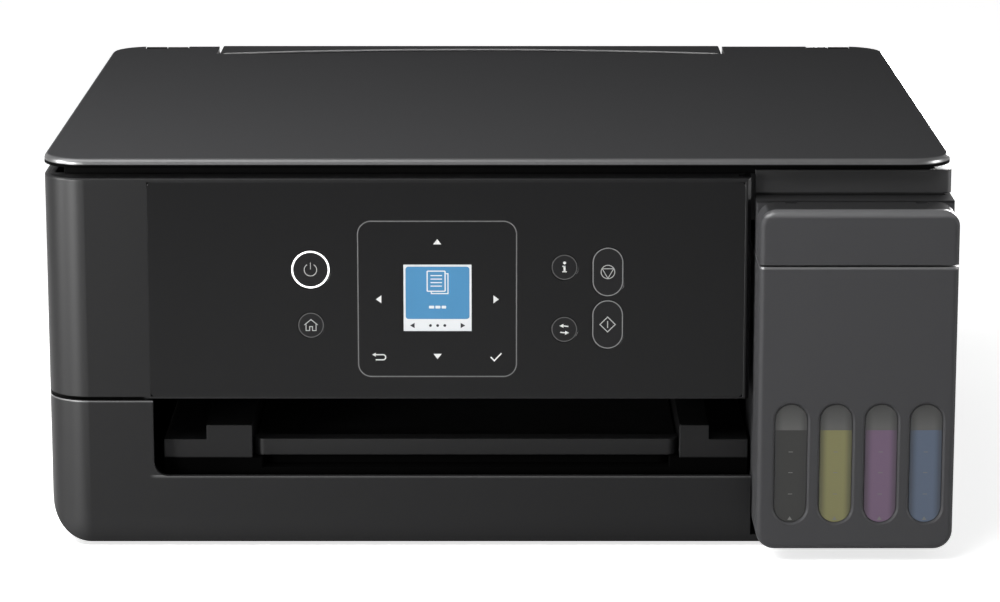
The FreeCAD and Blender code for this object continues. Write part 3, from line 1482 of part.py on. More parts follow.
def make_plain_insides():
    pad = new_body("waste_ink_pad")
    add(pad, "XY", floor, floor + inside.pad_tall, rect(
        inside.pad_left, inside.pad_left + inside.pad_wide, inside.pad_front, inside.pad_front + inside.pad_long))
    board = new_body("main_board")
    x0, x1 = inside.main_left, inside.main_left + inside.main_wide
    y0, y1 = inside.main_front, inside.main_front + inside.main_long
    add(board, "XY", floor + inside.main_up, floor + inside.main_up + panel.board_thick, rect(x0, x1, y0, y1))
    spots = [(x, y) for x in (x0 + panel.boss_in, x1 - panel.boss_in)
             for y in (y0 + panel.boss_in, y1 - panel.boss_in)]
    add(board, "XY", floor, floor + inside.main_up, *[disc(x, y, panel.boss_radius) for x, y in spots])
    supply = new_body("power_supply")
    supply_rear = rear - m.wall - inside.socket_deep
    add(supply, "XY", floor, floor + inside.supply_tall, rect(
        inside.supply_left, inside.supply_left + inside.supply_wide, supply_rear - inside.supply_deep, supply_rear))


def make_socket(label, start, wide, tall):
    """Moulded socket in its hole in the rear wall, open to the rear."""
    body = new_body(label)
    play, wall = inside.socket_play, inside.socket_wall
    low = shell.inlet_low
    add(body, "XZ", rear - m.wall - inside.socket_deep, rear - play, rect(
        start + play, start + wide - play, low + play, low + tall - play))
    cut(body, "XZ", rear - inside.socket_deep, rear, rect(
        start + play + wall, start + wide - play - wall, low + play + wall, low + tall - play - wall))


make_platen()
make_capping_station()
make_plain_insides()
make_socket("mains_inlet", shell.inlet_left, shell.inlet_width, shell.inlet_tall)
make_socket("usb_port", shell.usb_left, shell.usb_width, shell.usb_tall)


# Test every object, then write one file for each piece

doc.recompute()
for item in doc.Objects:
    if "Invalid" in item.State or "Error" in item.State:
        raise RuntimeError(f"{item.Name} failed: {item.State}")
    if item.TypeId == "PartDesign::Pocket" and item.Shape.Volume > item.BaseFeature.Shape.Volume - 1e-3:
        raise RuntimeError(f"{item.Name} cuts nothing")
for piece in pieces:
    if piece.Shape.isNull() or not piece.Shape.isValid():
        raise RuntimeError(f"{piece.Label} has no valid shape")
os.makedirs("parts", exist_ok=True)
for piece in pieces:
    piece.Shape.exportStep(f"parts/{piece.Label}.step")
print(len(pieces), "pieces written")
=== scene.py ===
import json
import math
import bpy
import numpy as np
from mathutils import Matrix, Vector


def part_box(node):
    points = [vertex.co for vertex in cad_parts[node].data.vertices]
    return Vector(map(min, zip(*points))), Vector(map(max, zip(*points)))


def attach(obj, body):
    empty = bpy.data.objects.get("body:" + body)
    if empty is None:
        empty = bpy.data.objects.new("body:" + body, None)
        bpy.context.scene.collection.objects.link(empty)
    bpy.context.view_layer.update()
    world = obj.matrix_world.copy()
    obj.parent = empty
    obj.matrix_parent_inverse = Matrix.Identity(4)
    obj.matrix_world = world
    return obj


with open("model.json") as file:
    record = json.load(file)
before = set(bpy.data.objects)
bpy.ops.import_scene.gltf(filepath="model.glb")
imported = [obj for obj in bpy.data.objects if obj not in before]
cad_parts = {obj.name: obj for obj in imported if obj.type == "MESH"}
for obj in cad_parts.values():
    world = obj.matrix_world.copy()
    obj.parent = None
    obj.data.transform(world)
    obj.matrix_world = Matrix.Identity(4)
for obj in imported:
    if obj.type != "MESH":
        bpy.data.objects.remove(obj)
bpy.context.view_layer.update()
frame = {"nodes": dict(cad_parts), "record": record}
scene = bpy.context.scene
mm = 0.001
print("frame loaded:", len(frame["nodes"]), "nodes")


# node helpers
def makeNode(tree, kind, **values):
    node = tree.nodes.new(kind)
    for key, value in values.items():
        setattr(node, key, value)
    return node


def join(tree, source, target):
    tree.links.new(source, target)


def setInputs(node, values):
    for socket, value in values.items():
        node.inputs[socket].default_value = value


def freshMaterial(name):
    paint = bpy.data.materials.new(name)
    paint.use_nodes = True
    tree = paint.node_tree
    return paint, tree, tree.nodes["Principled BSDF"]


# one arithmetic step on two values, each a number or another node's output
def combine(tree, operation, first, second=0.0):
    step = makeNode(tree, "ShaderNodeMath", operation=operation)
    for socket, value in zip(step.inputs, (first, second)):
        if isinstance(value, float):
            socket.default_value = value
        else:
            join(tree, value, socket)
    return step.outputs[0]


# a colour laid over a first one by a mask; the first is a plain colour or another mix
mixSocket = {"share": 0, "first": 6, "over": 7, "result": 2}


def mixColour(tree, share, first, over):
    mix = makeNode(tree, "ShaderNodeMix", data_type="RGBA")
    mix.inputs[mixSocket["over"]].default_value = (*over, 1.0)
    if isinstance(first, tuple):
        mix.inputs[mixSocket["first"]].default_value = (*first, 1.0)
    else:
        join(tree, first, mix.inputs[mixSocket["first"]])
    join(tree, share, mix.inputs[mixSocket["share"]])
    return mix.outputs[mixSocket["result"]]


# shared effect: moulded grain, as a bump of fine noise on edges rounded by the Bevel node
grainRelief = {"detail": 2.0, "height": 0.0002, "edgeSamples": 6}


def mouldedGrainGroup():
    group = bpy.data.node_groups.new("mouldedGrain", "ShaderNodeTree")
    for name in ("Scale", "Depth", "Edge"):
        group.interface.new_socket(name, in_out="INPUT", socket_type="NodeSocketFloat")
    group.interface.new_socket("Normal", in_out="OUTPUT", socket_type="NodeSocketVector")
    start = makeNode(group, "NodeGroupInput")
    end = makeNode(group, "NodeGroupOutput")
    place = makeNode(group, "ShaderNodeTexCoord")
    centred = makeNode(group, "ShaderNodeMapping")
    noise = makeNode(group, "ShaderNodeTexNoise")
    noise.inputs["Detail"].default_value = grainRelief["detail"]
    edge = makeNode(group, "ShaderNodeBevel", samples=grainRelief["edgeSamples"])
    bump = makeNode(group, "ShaderNodeBump")
    bump.inputs["Distance"].default_value = grainRelief["height"]
    join(group, place.outputs["Object"], centred.inputs["Vector"])
    join(group, centred.outputs["Vector"], noise.inputs["Vector"])
    join(group, start.outputs["Scale"], noise.inputs["Scale"])
    join(group, start.outputs["Depth"], bump.inputs["Strength"])
    join(group, start.outputs["Edge"], edge.inputs["Radius"])
    join(group, noise.outputs["Fac"], bump.inputs["Height"])
    join(group, edge.outputs["Normal"], bump.inputs["Normal"])
    join(group, bump.outputs["Normal"], end.inputs["Normal"])
    return group


# shared effect: a mask that goes from 0 at one place to 1 at another, along an axis of the piece
def spanMaskGroup():
    group = bpy.data.node_groups.new("spanMask", "ShaderNodeTree")
    group.interface.new_socket("Axis", in_out="INPUT", socket_type="NodeSocketVector")
    for name in ("Start", "End"):
        group.interface.new_socket(name, in_out="INPUT", socket_type="NodeSocketFloat")
    group.interface.new_socket("Mask", in_out="OUTPUT", socket_type="NodeSocketFloat")
    start = makeNode(group, "NodeGroupInput")
    end = makeNode(group, "NodeGroupOutput")
    place = makeNode(group, "ShaderNodeTexCoord")
    centred = makeNode(group, "ShaderNodeMapping")
    reach = makeNode(group, "ShaderNodeVectorMath", operation="DOT_PRODUCT")
    share = makeNode(group, "ShaderNodeMapRange")
    join(group, place.outputs["Object"], centred.inputs["Vector"])
    join(group, centred.outputs["Vector"], reach.inputs[0])
    join(group, start.outputs["Axis"], reach.inputs[1])
    join(group, reach.outputs["Value"], share.inputs["Value"])
    join(group, start.outputs["Start"], share.inputs["From Min"])
    join(group, start.outputs["End"], share.inputs["From Max"])
    join(group, share.outputs["Result"], end.inputs["Mask"])
    return group


mouldedGrain = mouldedGrainGroup()
spanMask = spanMaskGroup()
axisWay = {"X": (1.0, 0.0, 0.0), "Y": (0.0, 1.0, 0.0), "Z": (0.0, 0.0, 1.0)}


# one span's mask, from its places in millimetres
def along(tree, axis, start, end):
    span = makeNode(tree, "ShaderNodeGroup", node_tree=spanMask)
    setInputs(span, {"Axis": axisWay[axis], "Start": start * mm, "End": end * mm})
    return span.outputs["Mask"]


# a zone's mask: its spans multiplied, so 1 only where every one of them is 1
def zoneMask(tree, zone):
    mask = along(tree, *zone[0])
    for span in zone[1:]:
        mask = combine(tree, "MULTIPLY", mask, along(tree, *span))
    return mask


# one finish: base colour, roughness and gloss on the shader, grain from the group
def finish(name, colour, roughness, gloss=0.5, metal=0.0, grain=(900.0, 0.0), edge=0.0006):
    paint, tree, shader = freshMaterial(name)
    setInputs(shader, {"Base Color": (*colour, 1.0), "Roughness": roughness, "Specular IOR Level": gloss,
                       "Metallic": metal})
    relief = makeNode(tree, "ShaderNodeGroup", node_tree=mouldedGrain)
    setInputs(relief, {"Scale": grain[0], "Depth": grain[1], "Edge": edge})
    join(tree, relief.outputs["Normal"], shader.inputs["Normal"])
    return paint


# near-black for painted shade inside zones
shadeBlack = (0.001, 0.001, 0.001)
shellColour = (0.0062, 0.0062, 0.0066)
tankColour = (0.060, 0.060, 0.063)
# painted shade for the tops of the tank cover and housing
topShadeColour = (0.0185, 0.0185, 0.0192)
lidColour = (0.0477, 0.0477, 0.0492)


def shellFinish(name):
    return finish(name, shellColour, 0.41, 0.115, grain=(1400.0, 0.10))


def tankFinish(name):
    return finish(name, tankColour, 0.52, 0.05, grain=(1400.0, 0.08))


def lidFinish(name):
    return finish(name, lidColour, 0.66, 0.0, grain=(1400.0, 0.12))


# flatbed glass: see-through, thin tint
def platenGlassFinish():
    paint, tree, shader = freshMaterial("platenGlass")
    setInputs(shader, {"Base Color": (0.80, 0.85, 0.84, 1.0), "Roughness": 0.03,
                       "Transmission Weight": 1.0, "IOR": 1.5})
    return paint


# sight windows: heights and pitch in millimetres; side shade from, to (in pitches) and its share
ink = {
    "level": 57.0, "firstWindow": 122.0, "pitch": 18.7,
    "roughness": 0.35, "gloss": 0.15,
    "shade": (0.037, 0.037, 0.037), "sideShade": (0.16, 0.36, 0.65), "topShade": (58.0, 72.0),
    "empty": (0.111, 0.111, 0.108),
    "colours": [(0.040, 0.040, 0.0385), (0.215, 0.206, 0.0985), (0.166, 0.111, 0.172),
                (0.106, 0.134, 0.189)],
}


# frosted reservoirs: the tint of tank n where x lies past its left border, grey above the ink's
# level, with painted shade away from each window's middle and towards the top
def reservoirFinish():
    paint, tree, shader = freshMaterial("frostedTank")
    setInputs(shader, {"Roughness": ink["roughness"], "Specular IOR Level": ink["gloss"]})
    place = makeNode(tree, "ShaderNodeTexCoord")
    centred = makeNode(tree, "ShaderNodeMapping")
    split = makeNode(tree, "ShaderNodeSeparateXYZ")
    join(tree, place.outputs["Object"], centred.inputs["Vector"])
    join(tree, centred.outputs["Vector"], split.inputs["Vector"])
    x, z = split.outputs["X"], split.outputs["Z"]
    tint = ink["colours"][0]
    for number, colour in enumerate(ink["colours"][1:], 1):
        border = (ink["firstWindow"] + (number - 0.5) * ink["pitch"]) * mm
        tint = mixColour(tree, combine(tree, "GREATER_THAN", x, border), tint, colour)
    tint = mixColour(tree, combine(tree, "GREATER_THAN", z, ink["level"] * mm), tint, ink["empty"])
    fromFirst = combine(tree, "SUBTRACT", x, ink["firstWindow"] * mm)
    inPitches = combine(tree, "DIVIDE", fromFirst, ink["pitch"] * mm)
    offset = combine(tree, "SUBTRACT", inPitches, combine(tree, "ROUND", inPitches))
    depth = makeNode(tree, "ShaderNodeMapRange", interpolation_type="SMOOTHSTEP")
    setInputs(depth, dict(zip(("From Min", "From Max", "To Max"), ink["sideShade"])))
    join(tree, combine(tree, "ABSOLUTE", offset), depth.inputs["Value"])
    tint = mixColour(tree, depth.outputs["Result"], tint, ink["shade"])
    tint = mixColour(tree, along(tree, "Z", *ink["topShade"]), tint, ink["shade"])
    join(tree, tint, shader.inputs["Base Color"])
    return paint


finishes = {
    "shell_black": shellFinish("shellBlack"),
    "panel_gloss": finish("panelGloss", shellColour, 0.18, 0.12, edge=0.0003),
    "key_gloss": finish("keyGloss", (0.0108, 0.0108, 0.0115), 0.20, 0.12, edge=0.0003),
    "tank_grey": tankFinish("tankGrey"),
    "screen": finish("screenGlass", (0.02, 0.03, 0.04), 0.12),
    "board_green": finish("boardGreen", (0.03, 0.16, 0.07), 0.5),
    "white_foam": finish("matWhite", (0.80, 0.80, 0.78), 0.75, 0.3, grain=(300.0, 0.2)),
    "inner_black": finish("innerBlack", (0.0077, 0.0077, 0.0081), 0.5, 0.12, grain=(900.0, 0.1)),
    "steel": finish("plainSteel", (0.55, 0.56, 0.57), 0.28, metal=1.0),
    "zinc_sheet": finish("zincSheet", (0.30, 0.305, 0.31), 0.46, metal=1.0, grain=(60.0, 0.1)),
    "gear_white": finish("gearWhite", (0.72, 0.71, 0.67), 0.4),
    "rubber_grey": finish("rubberGrey", (0.06, 0.06, 0.06), 0.7, 0.3),
    "belt_rubber": finish("beltRubber", (0.025, 0.025, 0.025), 0.7, 0.3),
    "felt": finish("feltPad", (0.68, 0.67, 0.64), 0.95, 0.1, grain=(500.0, 0.6)),
    "cap_black": finish("capBlack", (0.025, 0.025, 0.025), 0.4),
    "cap_yellow": finish("capYellow", (0.75, 0.55, 0.04), 0.4),
    "cap_magenta": finish("capMagenta", (0.60, 0.05, 0.28), 0.4),
    "cap_cyan": finish("capCyan", (0.03, 0.33, 0.60), 0.4),
    "glass": platenGlassFinish(),
    "clear_tank": reservoirFinish(),
}

# zones of a moulding: spans of (axis, place where the mask is 0, place where it is 1), in millimetres; the
# blackened and darkened zones hold painted shade, the others a polished coat
zones = {
    "lidEdge": [("Z", 166.9, 166.5), ("Z", 164.2, 164.6)],
    # lid's lower edge band: painted shade
    "lidUnderShade": [("Z", 164.7, 164.3)],
    "seamShadow": [("Z", 65.3, 65.1), ("X", -147.0, -149.0)],
    "lowerEdge": [("Z", 62.7, 62.9)],
    "chinEdge": [("Z", 29.6, 31.0), ("Z", 31.2, 30.8), ("X", -147.0, -144.0), ("Y", -141.0, -142.0)],
    # lower case darker towards the floor: painted shade
    "lowerFootShade": [("Z", 14.0, -8.0)],
    "coverEdge": [("Z", 146.6, 148.0), ("Y", -165.0, -166.5)],
    "housingEdge": [("Z", 125.2, 125.5), ("Z", 127.0, 126.8)],
    # output guide below the tray: painted shade
    "underTrayShade": [("Z", 36.4, 35.8)],
    # front of the tray extension: painted shade
    "extensionFrontShade": [("Y", -125.0, -126.0)],
    # tops of the tank cover and housing behind their front edge: painted shade
    "tankTopShade": [("Z", 148.6, 149.2), ("Y", -167.0, -165.5)],
}
zoneRoughness = 0.9
polishIor = 1.6


# second, rougher colour inside a zone, painted shade wherever it is used; the roughness follows the same mask
def zoned(paint, zone, colour):
    tree = paint.node_tree
    shader = tree.nodes["Principled BSDF"]
    mask = zoneMask(tree, zones[zone])
    first = tuple(shader.inputs["Base Color"].default_value)[:3]
    join(tree, mixColour(tree, mask, first, colour), shader.inputs["Base Color"])
    rough = makeNode(tree, "ShaderNodeMapRange")
    setInputs(rough, {"To Min": shader.inputs["Roughness"].default_value, "To Max": zoneRoughness})
    join(tree, mask, rough.inputs["Value"])
    join(tree, rough.outputs["Result"], shader.inputs["Roughness"])
    return paint, mask


# painted shade: black inside a zone, also metal there, because black metal mirrors next to nothing
def paintedShade(paint, zone):
    paint, mask = zoned(paint, zone, shadeBlack)
    join(paint.node_tree, mask, paint.node_tree.nodes["Principled BSDF"].inputs["Metallic"])
    return paint


# painted shade: the tank's top behind its front edge darker
def shadedTankTop(paint):
    return zoned(paint, "tankTopShade", topShadeColour)[0]


# coat inside some zones: polished edges on a textured moulding, the strongest mask counting
def polished(paint, roughness, *edges):
    tree = paint.node_tree
    shader = tree.nodes["Principled BSDF"]
    setInputs(shader, {"Coat Roughness": roughness, "Coat IOR": polishIor})
    mask = zoneMask(tree, zones[edges[0]])
    for edge in edges[1:]:
        mask = combine(tree, "MAXIMUM", mask, zoneMask(tree, zones[edge]))
    join(tree, mask, shader.inputs["Coat Weight"])
    return paint


ownFinish = {
    # lid: painted shade black on its lower edge band, polished coat on the rim
    "lid": polished(paintedShade(lidFinish("lidBlack"), "lidUnderShade"), 0.36, "lidEdge"),
    # scanner frame: darker than the shell, painted shade in the gap under the lid
    "scanner_frame": finish("frameShadeBlack", (0.0046, 0.0046, 0.0046), 0.6, 0.02),
    "upper_case": paintedShade(shellFinish("upperBlack"), "seamShadow"),
    # lower case: painted shade darker towards the bottom, polished coat on its top and chin edges
    "lower_case": polished(paintedShade(shellFinish("lowerBlack"), "lowerFootShade"), 0.35, "lowerEdge", "chinEdge"),
    # output guide: painted shade black below the tray
    "output_guide": paintedShade(shellFinish("guideBlack"), "underTrayShade"),
    # tray extension: painted shade black on its front
    "tray_extension": paintedShade(shellFinish("extensionBlack"), "extensionFrontShade"),
    "housing_screws": finish("screwZinc", (0.16, 0.16, 0.165), 0.45, metal=1.0),
    # tank cover and housing: painted shade on their tops, polished coat on the front edges
    "tank_cover": polished(shadedTankTop(tankFinish("coverGrey")), 0.4, "coverEdge"),
    "tank_housing": polished(shadedTankTop(tankFinish("housingGrey")), 0.4, "housingEdge"),
    "paper_support": lidFinish("supportBlack"),
    # scanner tub: the shell's black painted lighter, painted light against the shade under the lid
    "scanner_tub": finish("tubLitBlack", (0.049, 0.049, 0.0505), 0.52, 0.15, grain=(1400.0, 0.10)),
}

slotOf = {entry["node"]: entry["material_slot"] for entry in frame["record"]["subparts"]}
for name, piece in frame["nodes"].items():
    paint = ownFinish.get(name, finishes[slotOf[name]])
    for holder in piece.material_slots:
        holder.material = paint
print("finishes set:", len(finishes))


# marks: flat bands and patches in the front's X and Z, in millimetres

# arc: the middle plus the radius at evenly spread angles
def circle(x, z, radius, count=64, start=0.0, sweep=360.0):
    turn = np.radians(start + np.linspace(0.0, sweep, count))
    return np.stack([x + radius * np.cos(turn), z + radius * np.sin(turn)], axis=1)


# closed loop with round corners: each corner's centre plus its radius at a quarter turn of angles
def roundedLoop(x0, x1, z0, z1, radius, count=12):
    turn = np.linspace(0.0, math.pi / 2, count)
    centres = [(x1 - radius, z1 - radius), (x0 + radius, z1 - radius), (x0 + radius, z0 + radius),
               (x1 - radius, z0 + radius)]
    arcs = [np.stack([cx + radius * np.cos(turn + quarter * math.pi / 2),
                      cz + radius * np.sin(turn + quarter * math.pi / 2)], axis=1)
            for quarter, (cx, cz) in enumerate(centres)]
    loop = np.concatenate(arcs)
    return np.concatenate([loop, loop[:1]])


leastCosine = 0.35   # holds a band's width back at sharp corners
sameSpot = 1e-6


# band along a path: the path moved half a width to both sides along its mean normal
def band(path, width, closed=False):
    path = np.asarray(path, float)
    step = np.diff(path, axis=0)
    step /= np.linalg.norm(step, axis=1)[:, None]
    before = np.concatenate([step[-1:] if closed else step[:1], step])
    after = np.concatenate([step, step[:1] if closed else step[-1:]])
    mean = before + after
    mean /= np.linalg.norm(mean, axis=1)[:, None]
    normal = np.stack([-mean[:, 1], mean[:, 0]], axis=1)
    stretch = 1.0 / np.maximum(leastCosine, (mean * after).sum(axis=1))
    offset = normal * (stretch * width / 2)[:, None]
    return np.stack([path + offset, path - offset])


# filled shape: every edge of the loop joined to the loop's middle
def patch(loop):
    loop = np.asarray(loop, float)
    if np.abs(loop[0] - loop[-1]).max() > sameSpot:
        loop = np.concatenate([loop, loop[:1]])
    middle = np.repeat(loop[:-1].mean(axis=0)[None], len(loop), axis=0)
    return np.stack([middle, loop])


# arrow head: triangle of a given length and base, turned to an angle
def arrowHead(x, z, angle, long, base):
    turn = math.radians(angle)
    ahead = np.array([math.cos(turn), math.sin(turn)])
    across = np.array([-ahead[1], ahead[0]])
    middle = np.array([x, z])
    return patch([middle + ahead * long / 2, middle - ahead * long / 2 + across * base / 2,
                  middle - ahead * long / 2 - across * base / 2])


def moved(points, spot):
    return np.asarray(points, float) + spot


# one flat piece from many bands, facing the front at depth y
def markPiece(name, shapes, y, body, paint):
    points, faces, first = [], [], 0
    for shape in shapes:
        count = shape.shape[1]
        flat = shape.reshape(-1, 2)
        low = np.arange(count - 1) + first
        quads = np.stack([low, low + 1, low + 1 + count, low + count], axis=1)
        corner = flat[quads - first]
        onward = np.roll(corner, -1, axis=1)
        area = (corner[..., 0] * onward[..., 1] - corner[..., 1] * onward[..., 0]).sum(axis=1)
        quads[area < 0] = quads[area < 0][:, ::-1]
        points.append(np.stack([flat[:, 0], np.full(len(flat), y), flat[:, 1]], axis=1) * mm)
        faces.append(quads)
        first += len(flat)
    mesh = bpy.data.meshes.new(name)
    mesh.from_pydata(np.concatenate(points).tolist(), [], np.concatenate(faces).tolist())
    mesh.materials.append(markPaints[paint])
    piece = bpy.data.objects.new(name, mesh)
    scene.collection.objects.link(piece)
    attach(piece, body)


# printed or lit mark: plain colour, with light of its own where it shines
markSurface = {"Roughness": 0.45, "Specular IOR Level": 0.2}


def markPaint(name, colour, light=0.0):
    paint, tree, shader = freshMaterial(name)
    setInputs(shader, markSurface)
    setInputs(shader, {"Base Color": (*colour, 1.0), "Emission Color": (*colour, 1.0),
                       "Emission Strength": light})
    return paint


markPaints = {
    "lit": markPaint("litWhite", (1.0, 1.0, 1.0), 1.0),
    "bright": markPaint("markBright", (0.77, 0.77, 0.76), 0.05),
    "soft": markPaint("markSoft", (0.46, 0.46, 0.452)),
    "line": markPaint("markLine", (0.246, 0.246, 0.246)),
    "frame": markPaint("markFrame", (0.168, 0.168, 0.168)),
    "dim": markPaint("markDim", (0.083, 0.083, 0.083)),
    "screenWhite": markPaint("screenWhite", (0.54, 0.556, 0.567), 0.5),
    "screenBlue": markPaint("screenBlue", (0.051, 0.204, 0.382), 0.28),
    "screenInk": markPaint("screenInk", (0.02, 0.02, 0.025)),
    "tick": markPaint("tankTick", (0.177, 0.177, 0.169)),
}


# depth of a node's marks: a little proud of its front
def faceOf(node, proud=0.04):
    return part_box(node)[0][1] / mm - proud


keyFace = faceOf("control_panel")   # the buttons' fronts lie flush with the panel's

# panel film: square outline, four arrows, back sign and tick
panelMarks = {
    "middle": (-25.0, 107.2), "square": (-58.2, 8.1, 74.0, 140.5, 5.5), "squareLine": 0.45,
    "arrowReach": 24.6, "arrowLong": 2.3, "arrowBase": 3.4,
    "back": (-49.4, 82.3), "backTop": [(-1.8, 1.1), (1.4, 1.1)], "backBend": (1.5, 0.0, 1.1),
    "backEnd": [(-1.6, -1.1)], "backLine": 0.5, "backTip": (-2.3, 1.1), "backLong": 1.5, "backBase": 1.7,
    "tick": (-0.5, 82.3), "tickPath": [(-2.2, 0.1), (-0.7, -1.5), (2.3, 1.7)], "tickLine": 0.55,
}
squareLine = band(roundedLoop(*panelMarks["square"]), panelMarks["squareLine"], True)
markPiece("panelSquare", [squareLine], keyFace, "scanner_unit", "frame")
arrowSpots = circle(*panelMarks["middle"], panelMarks["arrowReach"], count=4, sweep=270.0)
signs = [arrowHead(*spot, 90 * quarter, panelMarks["arrowLong"], panelMarks["arrowBase"])
         for quarter, spot in enumerate(arrowSpots)]
backBend = circle(*panelMarks["backBend"], count=14, start=90.0, sweep=-180.0)
backPath = np.concatenate([panelMarks["backTop"], backBend, panelMarks["backEnd"]])
signs.append(band(moved(backPath, panelMarks["back"]), panelMarks["backLine"]))
signs.append(arrowHead(*moved(panelMarks["backTip"], panelMarks["back"]), 180, panelMarks["backLong"],
                       panelMarks["backBase"]))
signs.append(band(moved(panelMarks["tickPath"], panelMarks["tick"]), panelMarks["tickLine"]))
markPiece("panelSigns", signs, keyFace, "scanner_unit", "bright")

# power button: lit ring, sign of an open arc and a bar
power = {
    "x": -78.0, "z": 119.9, "ring": 7.62, "ringLine": 0.74,
    "arc": 2.6, "arcDown": 0.1, "arcStart": 122.0, "arcSweep": 296.0, "arcLine": 0.34,
    "barLow": 0.1, "barHigh": 3.0, "barLine": 0.27,
}
powerRing = band(circle(power["x"], power["z"], power["ring"]), power["ringLine"], True)
markPiece("powerRing", [powerRing], keyFace, "power_button", "lit")
openArc = circle(power["x"], power["z"] - power["arcDown"], power["arc"], count=40,
                 start=power["arcStart"], sweep=power["arcSweep"])
bar = [(power["x"], power["z"] + power["barLow"]), (power["x"], power["z"] + power["barHigh"])]
powerSign = [band(openArc, power["arcLine"]), band(bar, power["barLine"])]
markPiece("powerSign", powerSign, keyFace, "power_button", "soft")

# home, info and swap buttons: dim ring and sign, drawn about each button's middle
home = {
    "spot": (-78.0, 96.1), "line": 0.36,
    "roof": [(-2.8, 0.1), (0.0, 2.4), (2.8, 0.1)],
    "walls": [(-2.1, 0.4), (-2.1, -2.3), (-0.6, -2.3), (-0.6, -0.6), (0.6, -0.6), (0.6, -2.3), (2.1, -2.3),
              (2.1, 0.4)],
}
homeSign = [band(moved(home[part], home["spot"]), home["line"]) for part in ("roof", "walls")]
info = {
    "spot": (28.15, 120.9), "line": 0.5, "dot": 0.62, "dotUp": 1.9,
    "stem": [(-0.42, 0.65), (0.42, 0.65), (0.42, -2.0), (-0.42, -2.0)],
    "head": [(-0.85, 0.4), (0.42, 0.4)], "foot": [(-0.95, -1.9), (0.95, -1.9)],
}
infoSign = [patch(moved(circle(0.0, info["dotUp"], info["dot"], count=24)[:-1], info["spot"])),
            patch(moved(info["stem"], info["spot"]))]
infoSign += [band(moved(info[part], info["spot"]), info["line"]) for part in ("head", "foot")]
swap = {
    "spot": (28.15, 94.3), "line": 0.5, "apart": 1.5, "bar": [(-0.6, 0.0), (1.7, -0.25)],
    "headOut": 1.2, "head": 1.7,
}
swapSign = []
for side in (1, -1):
    middle = moved((0.0, swap["apart"] * side), swap["spot"])
    swapSign.append(band(moved(np.array(swap["bar"]) * side, middle), swap["line"]))
    headSpot = moved((-swap["headOut"] * side, 0.0), middle)
    swapSign.append(arrowHead(*headSpot, 90 + 90 * side, swap["head"], swap["head"]))
roundKey = {"ring": 5.15, "line": 0.4}
for name, key, sign, tone in (("home", home, homeSign, "soft"), ("info", info, infoSign, "bright"),
                              ("swap", swap, swapSign, "bright")):
    ring = band(circle(*key["spot"], roundKey["ring"]), roundKey["line"], True)
    markPiece(name + "Ring", [ring], keyFace, name + "_button", "dim")
    markPiece(name + "Sign", sign, keyFace, name + "_button", tone)

# stop and start buttons: pill outline; triangle in a ring, bar in a diamond
pill = {
    "x": 46.3, "half": 6.2, "reach": 10.15, "line": 0.42, "endGap": 0.01, "stop": 118.9, "start": 96.4,
    "stopRing": 2.85, "stopRingLine": 0.36, "triangle": 2.75, "triangleLine": 0.34,
    "diamond": 3.2, "bar": 1.5, "startLine": 0.4,
}
pillSigns = {
    "stop": [band(circle(pill["x"], pill["stop"], pill["stopRing"]), pill["stopRingLine"], True),
             band(circle(pill["x"], pill["stop"], pill["triangle"], count=4, start=270.0),
                  pill["triangleLine"], True)],
    "start": [band(circle(pill["x"], pill["start"], pill["diamond"], count=5), pill["startLine"], True),
              band([(pill["x"], pill["start"] - pill["bar"]), (pill["x"], pill["start"] + pill["bar"])],
                   pill["startLine"])],
}
for name, sign in pillSigns.items():
    z = pill[name]
    loop = roundedLoop(pill["x"] - pill["half"], pill["x"] + pill["half"], z - pill["reach"],
                       z + pill["reach"], pill["half"] - pill["endGap"], count=20)
    outline = band(loop, pill["line"], True)
    markPiece(name + "Outline", [outline], keyFace, name + "_button", "line")
    markPiece(name + "Sign", sign, keyFace, name + "_button", "soft")
print("panel and button marks made")

# lit screen: white border, blue field with round corners, two sheets, plain bars, white foot with arrows
screen = {
    "layer": 0.03, "left": -39.2, "right": -10.7, "low": 93.5, "high": 122.0, "corner": 0.2,
    "border": 0.9, "foot": 5.2, "fieldCorner": 1.2,
    "sheetZ": 114.8, "sheet": (-4.3, 3.2, -4.2, 4.4, 0.3), "sheetLine": 0.5,
    "backSheet": [(3.6, 3.3), (4.4, 3.3), (4.4, -5.2), (-2.6, -5.2), (-2.6, -4.5)],
    "rows": (2.5, 1.0, -0.5, -2.0), "rowEnds": (-2.9, 1.9), "rowLine": 0.45,
    "bars": [(-3.6, -1.4), (-0.9, 1.2), (1.7, 3.6)], "barLow": 103.2, "barHigh": 104.4, "barCorner": 0.3,
    "footUp": 2.4, "footReach": 10.6, "footLong": 1.9, "footBase": 2.3, "dot": 0.6, "dots": (-3.0, 0.0, 3.0),
}
screenMid = (screen["left"] + screen["right"]) / 2
whole = roundedLoop(screen["left"], screen["right"], screen["low"], screen["high"], screen["corner"], count=3)
field = roundedLoop(screen["left"] + screen["border"], screen["right"] - screen["border"],
                    screen["low"] + screen["foot"], screen["high"] - screen["border"],
                    screen["fieldCorner"], count=8)
sheetSpot = (screenMid, screen["sheetZ"])
screenSign = [band(moved(roundedLoop(*screen["sheet"], count=4), sheetSpot), screen["sheetLine"], True),
              band(moved(screen["backSheet"], sheetSpot), screen["rowLine"])]
screenSign += [band(moved([(end, row) for end in screen["rowEnds"]], sheetSpot), screen["rowLine"])
               for row in screen["rows"]]
screenSign += [patch(roundedLoop(screenMid + left, screenMid + right, screen["barLow"], screen["barHigh"],
                                 screen["barCorner"], count=4)) for left, right in screen["bars"]]
footZ = screen["low"] + screen["footUp"]
footSigns = [arrowHead(screenMid - screen["footReach"], footZ, 180, screen["footLong"], screen["footBase"]),
             arrowHead(screenMid + screen["footReach"], footZ, 0, screen["footLong"], screen["footBase"])]
footSigns += [patch(circle(screenMid + dx, footZ, screen["dot"], count=16)[:-1]) for dx in screen["dots"]]
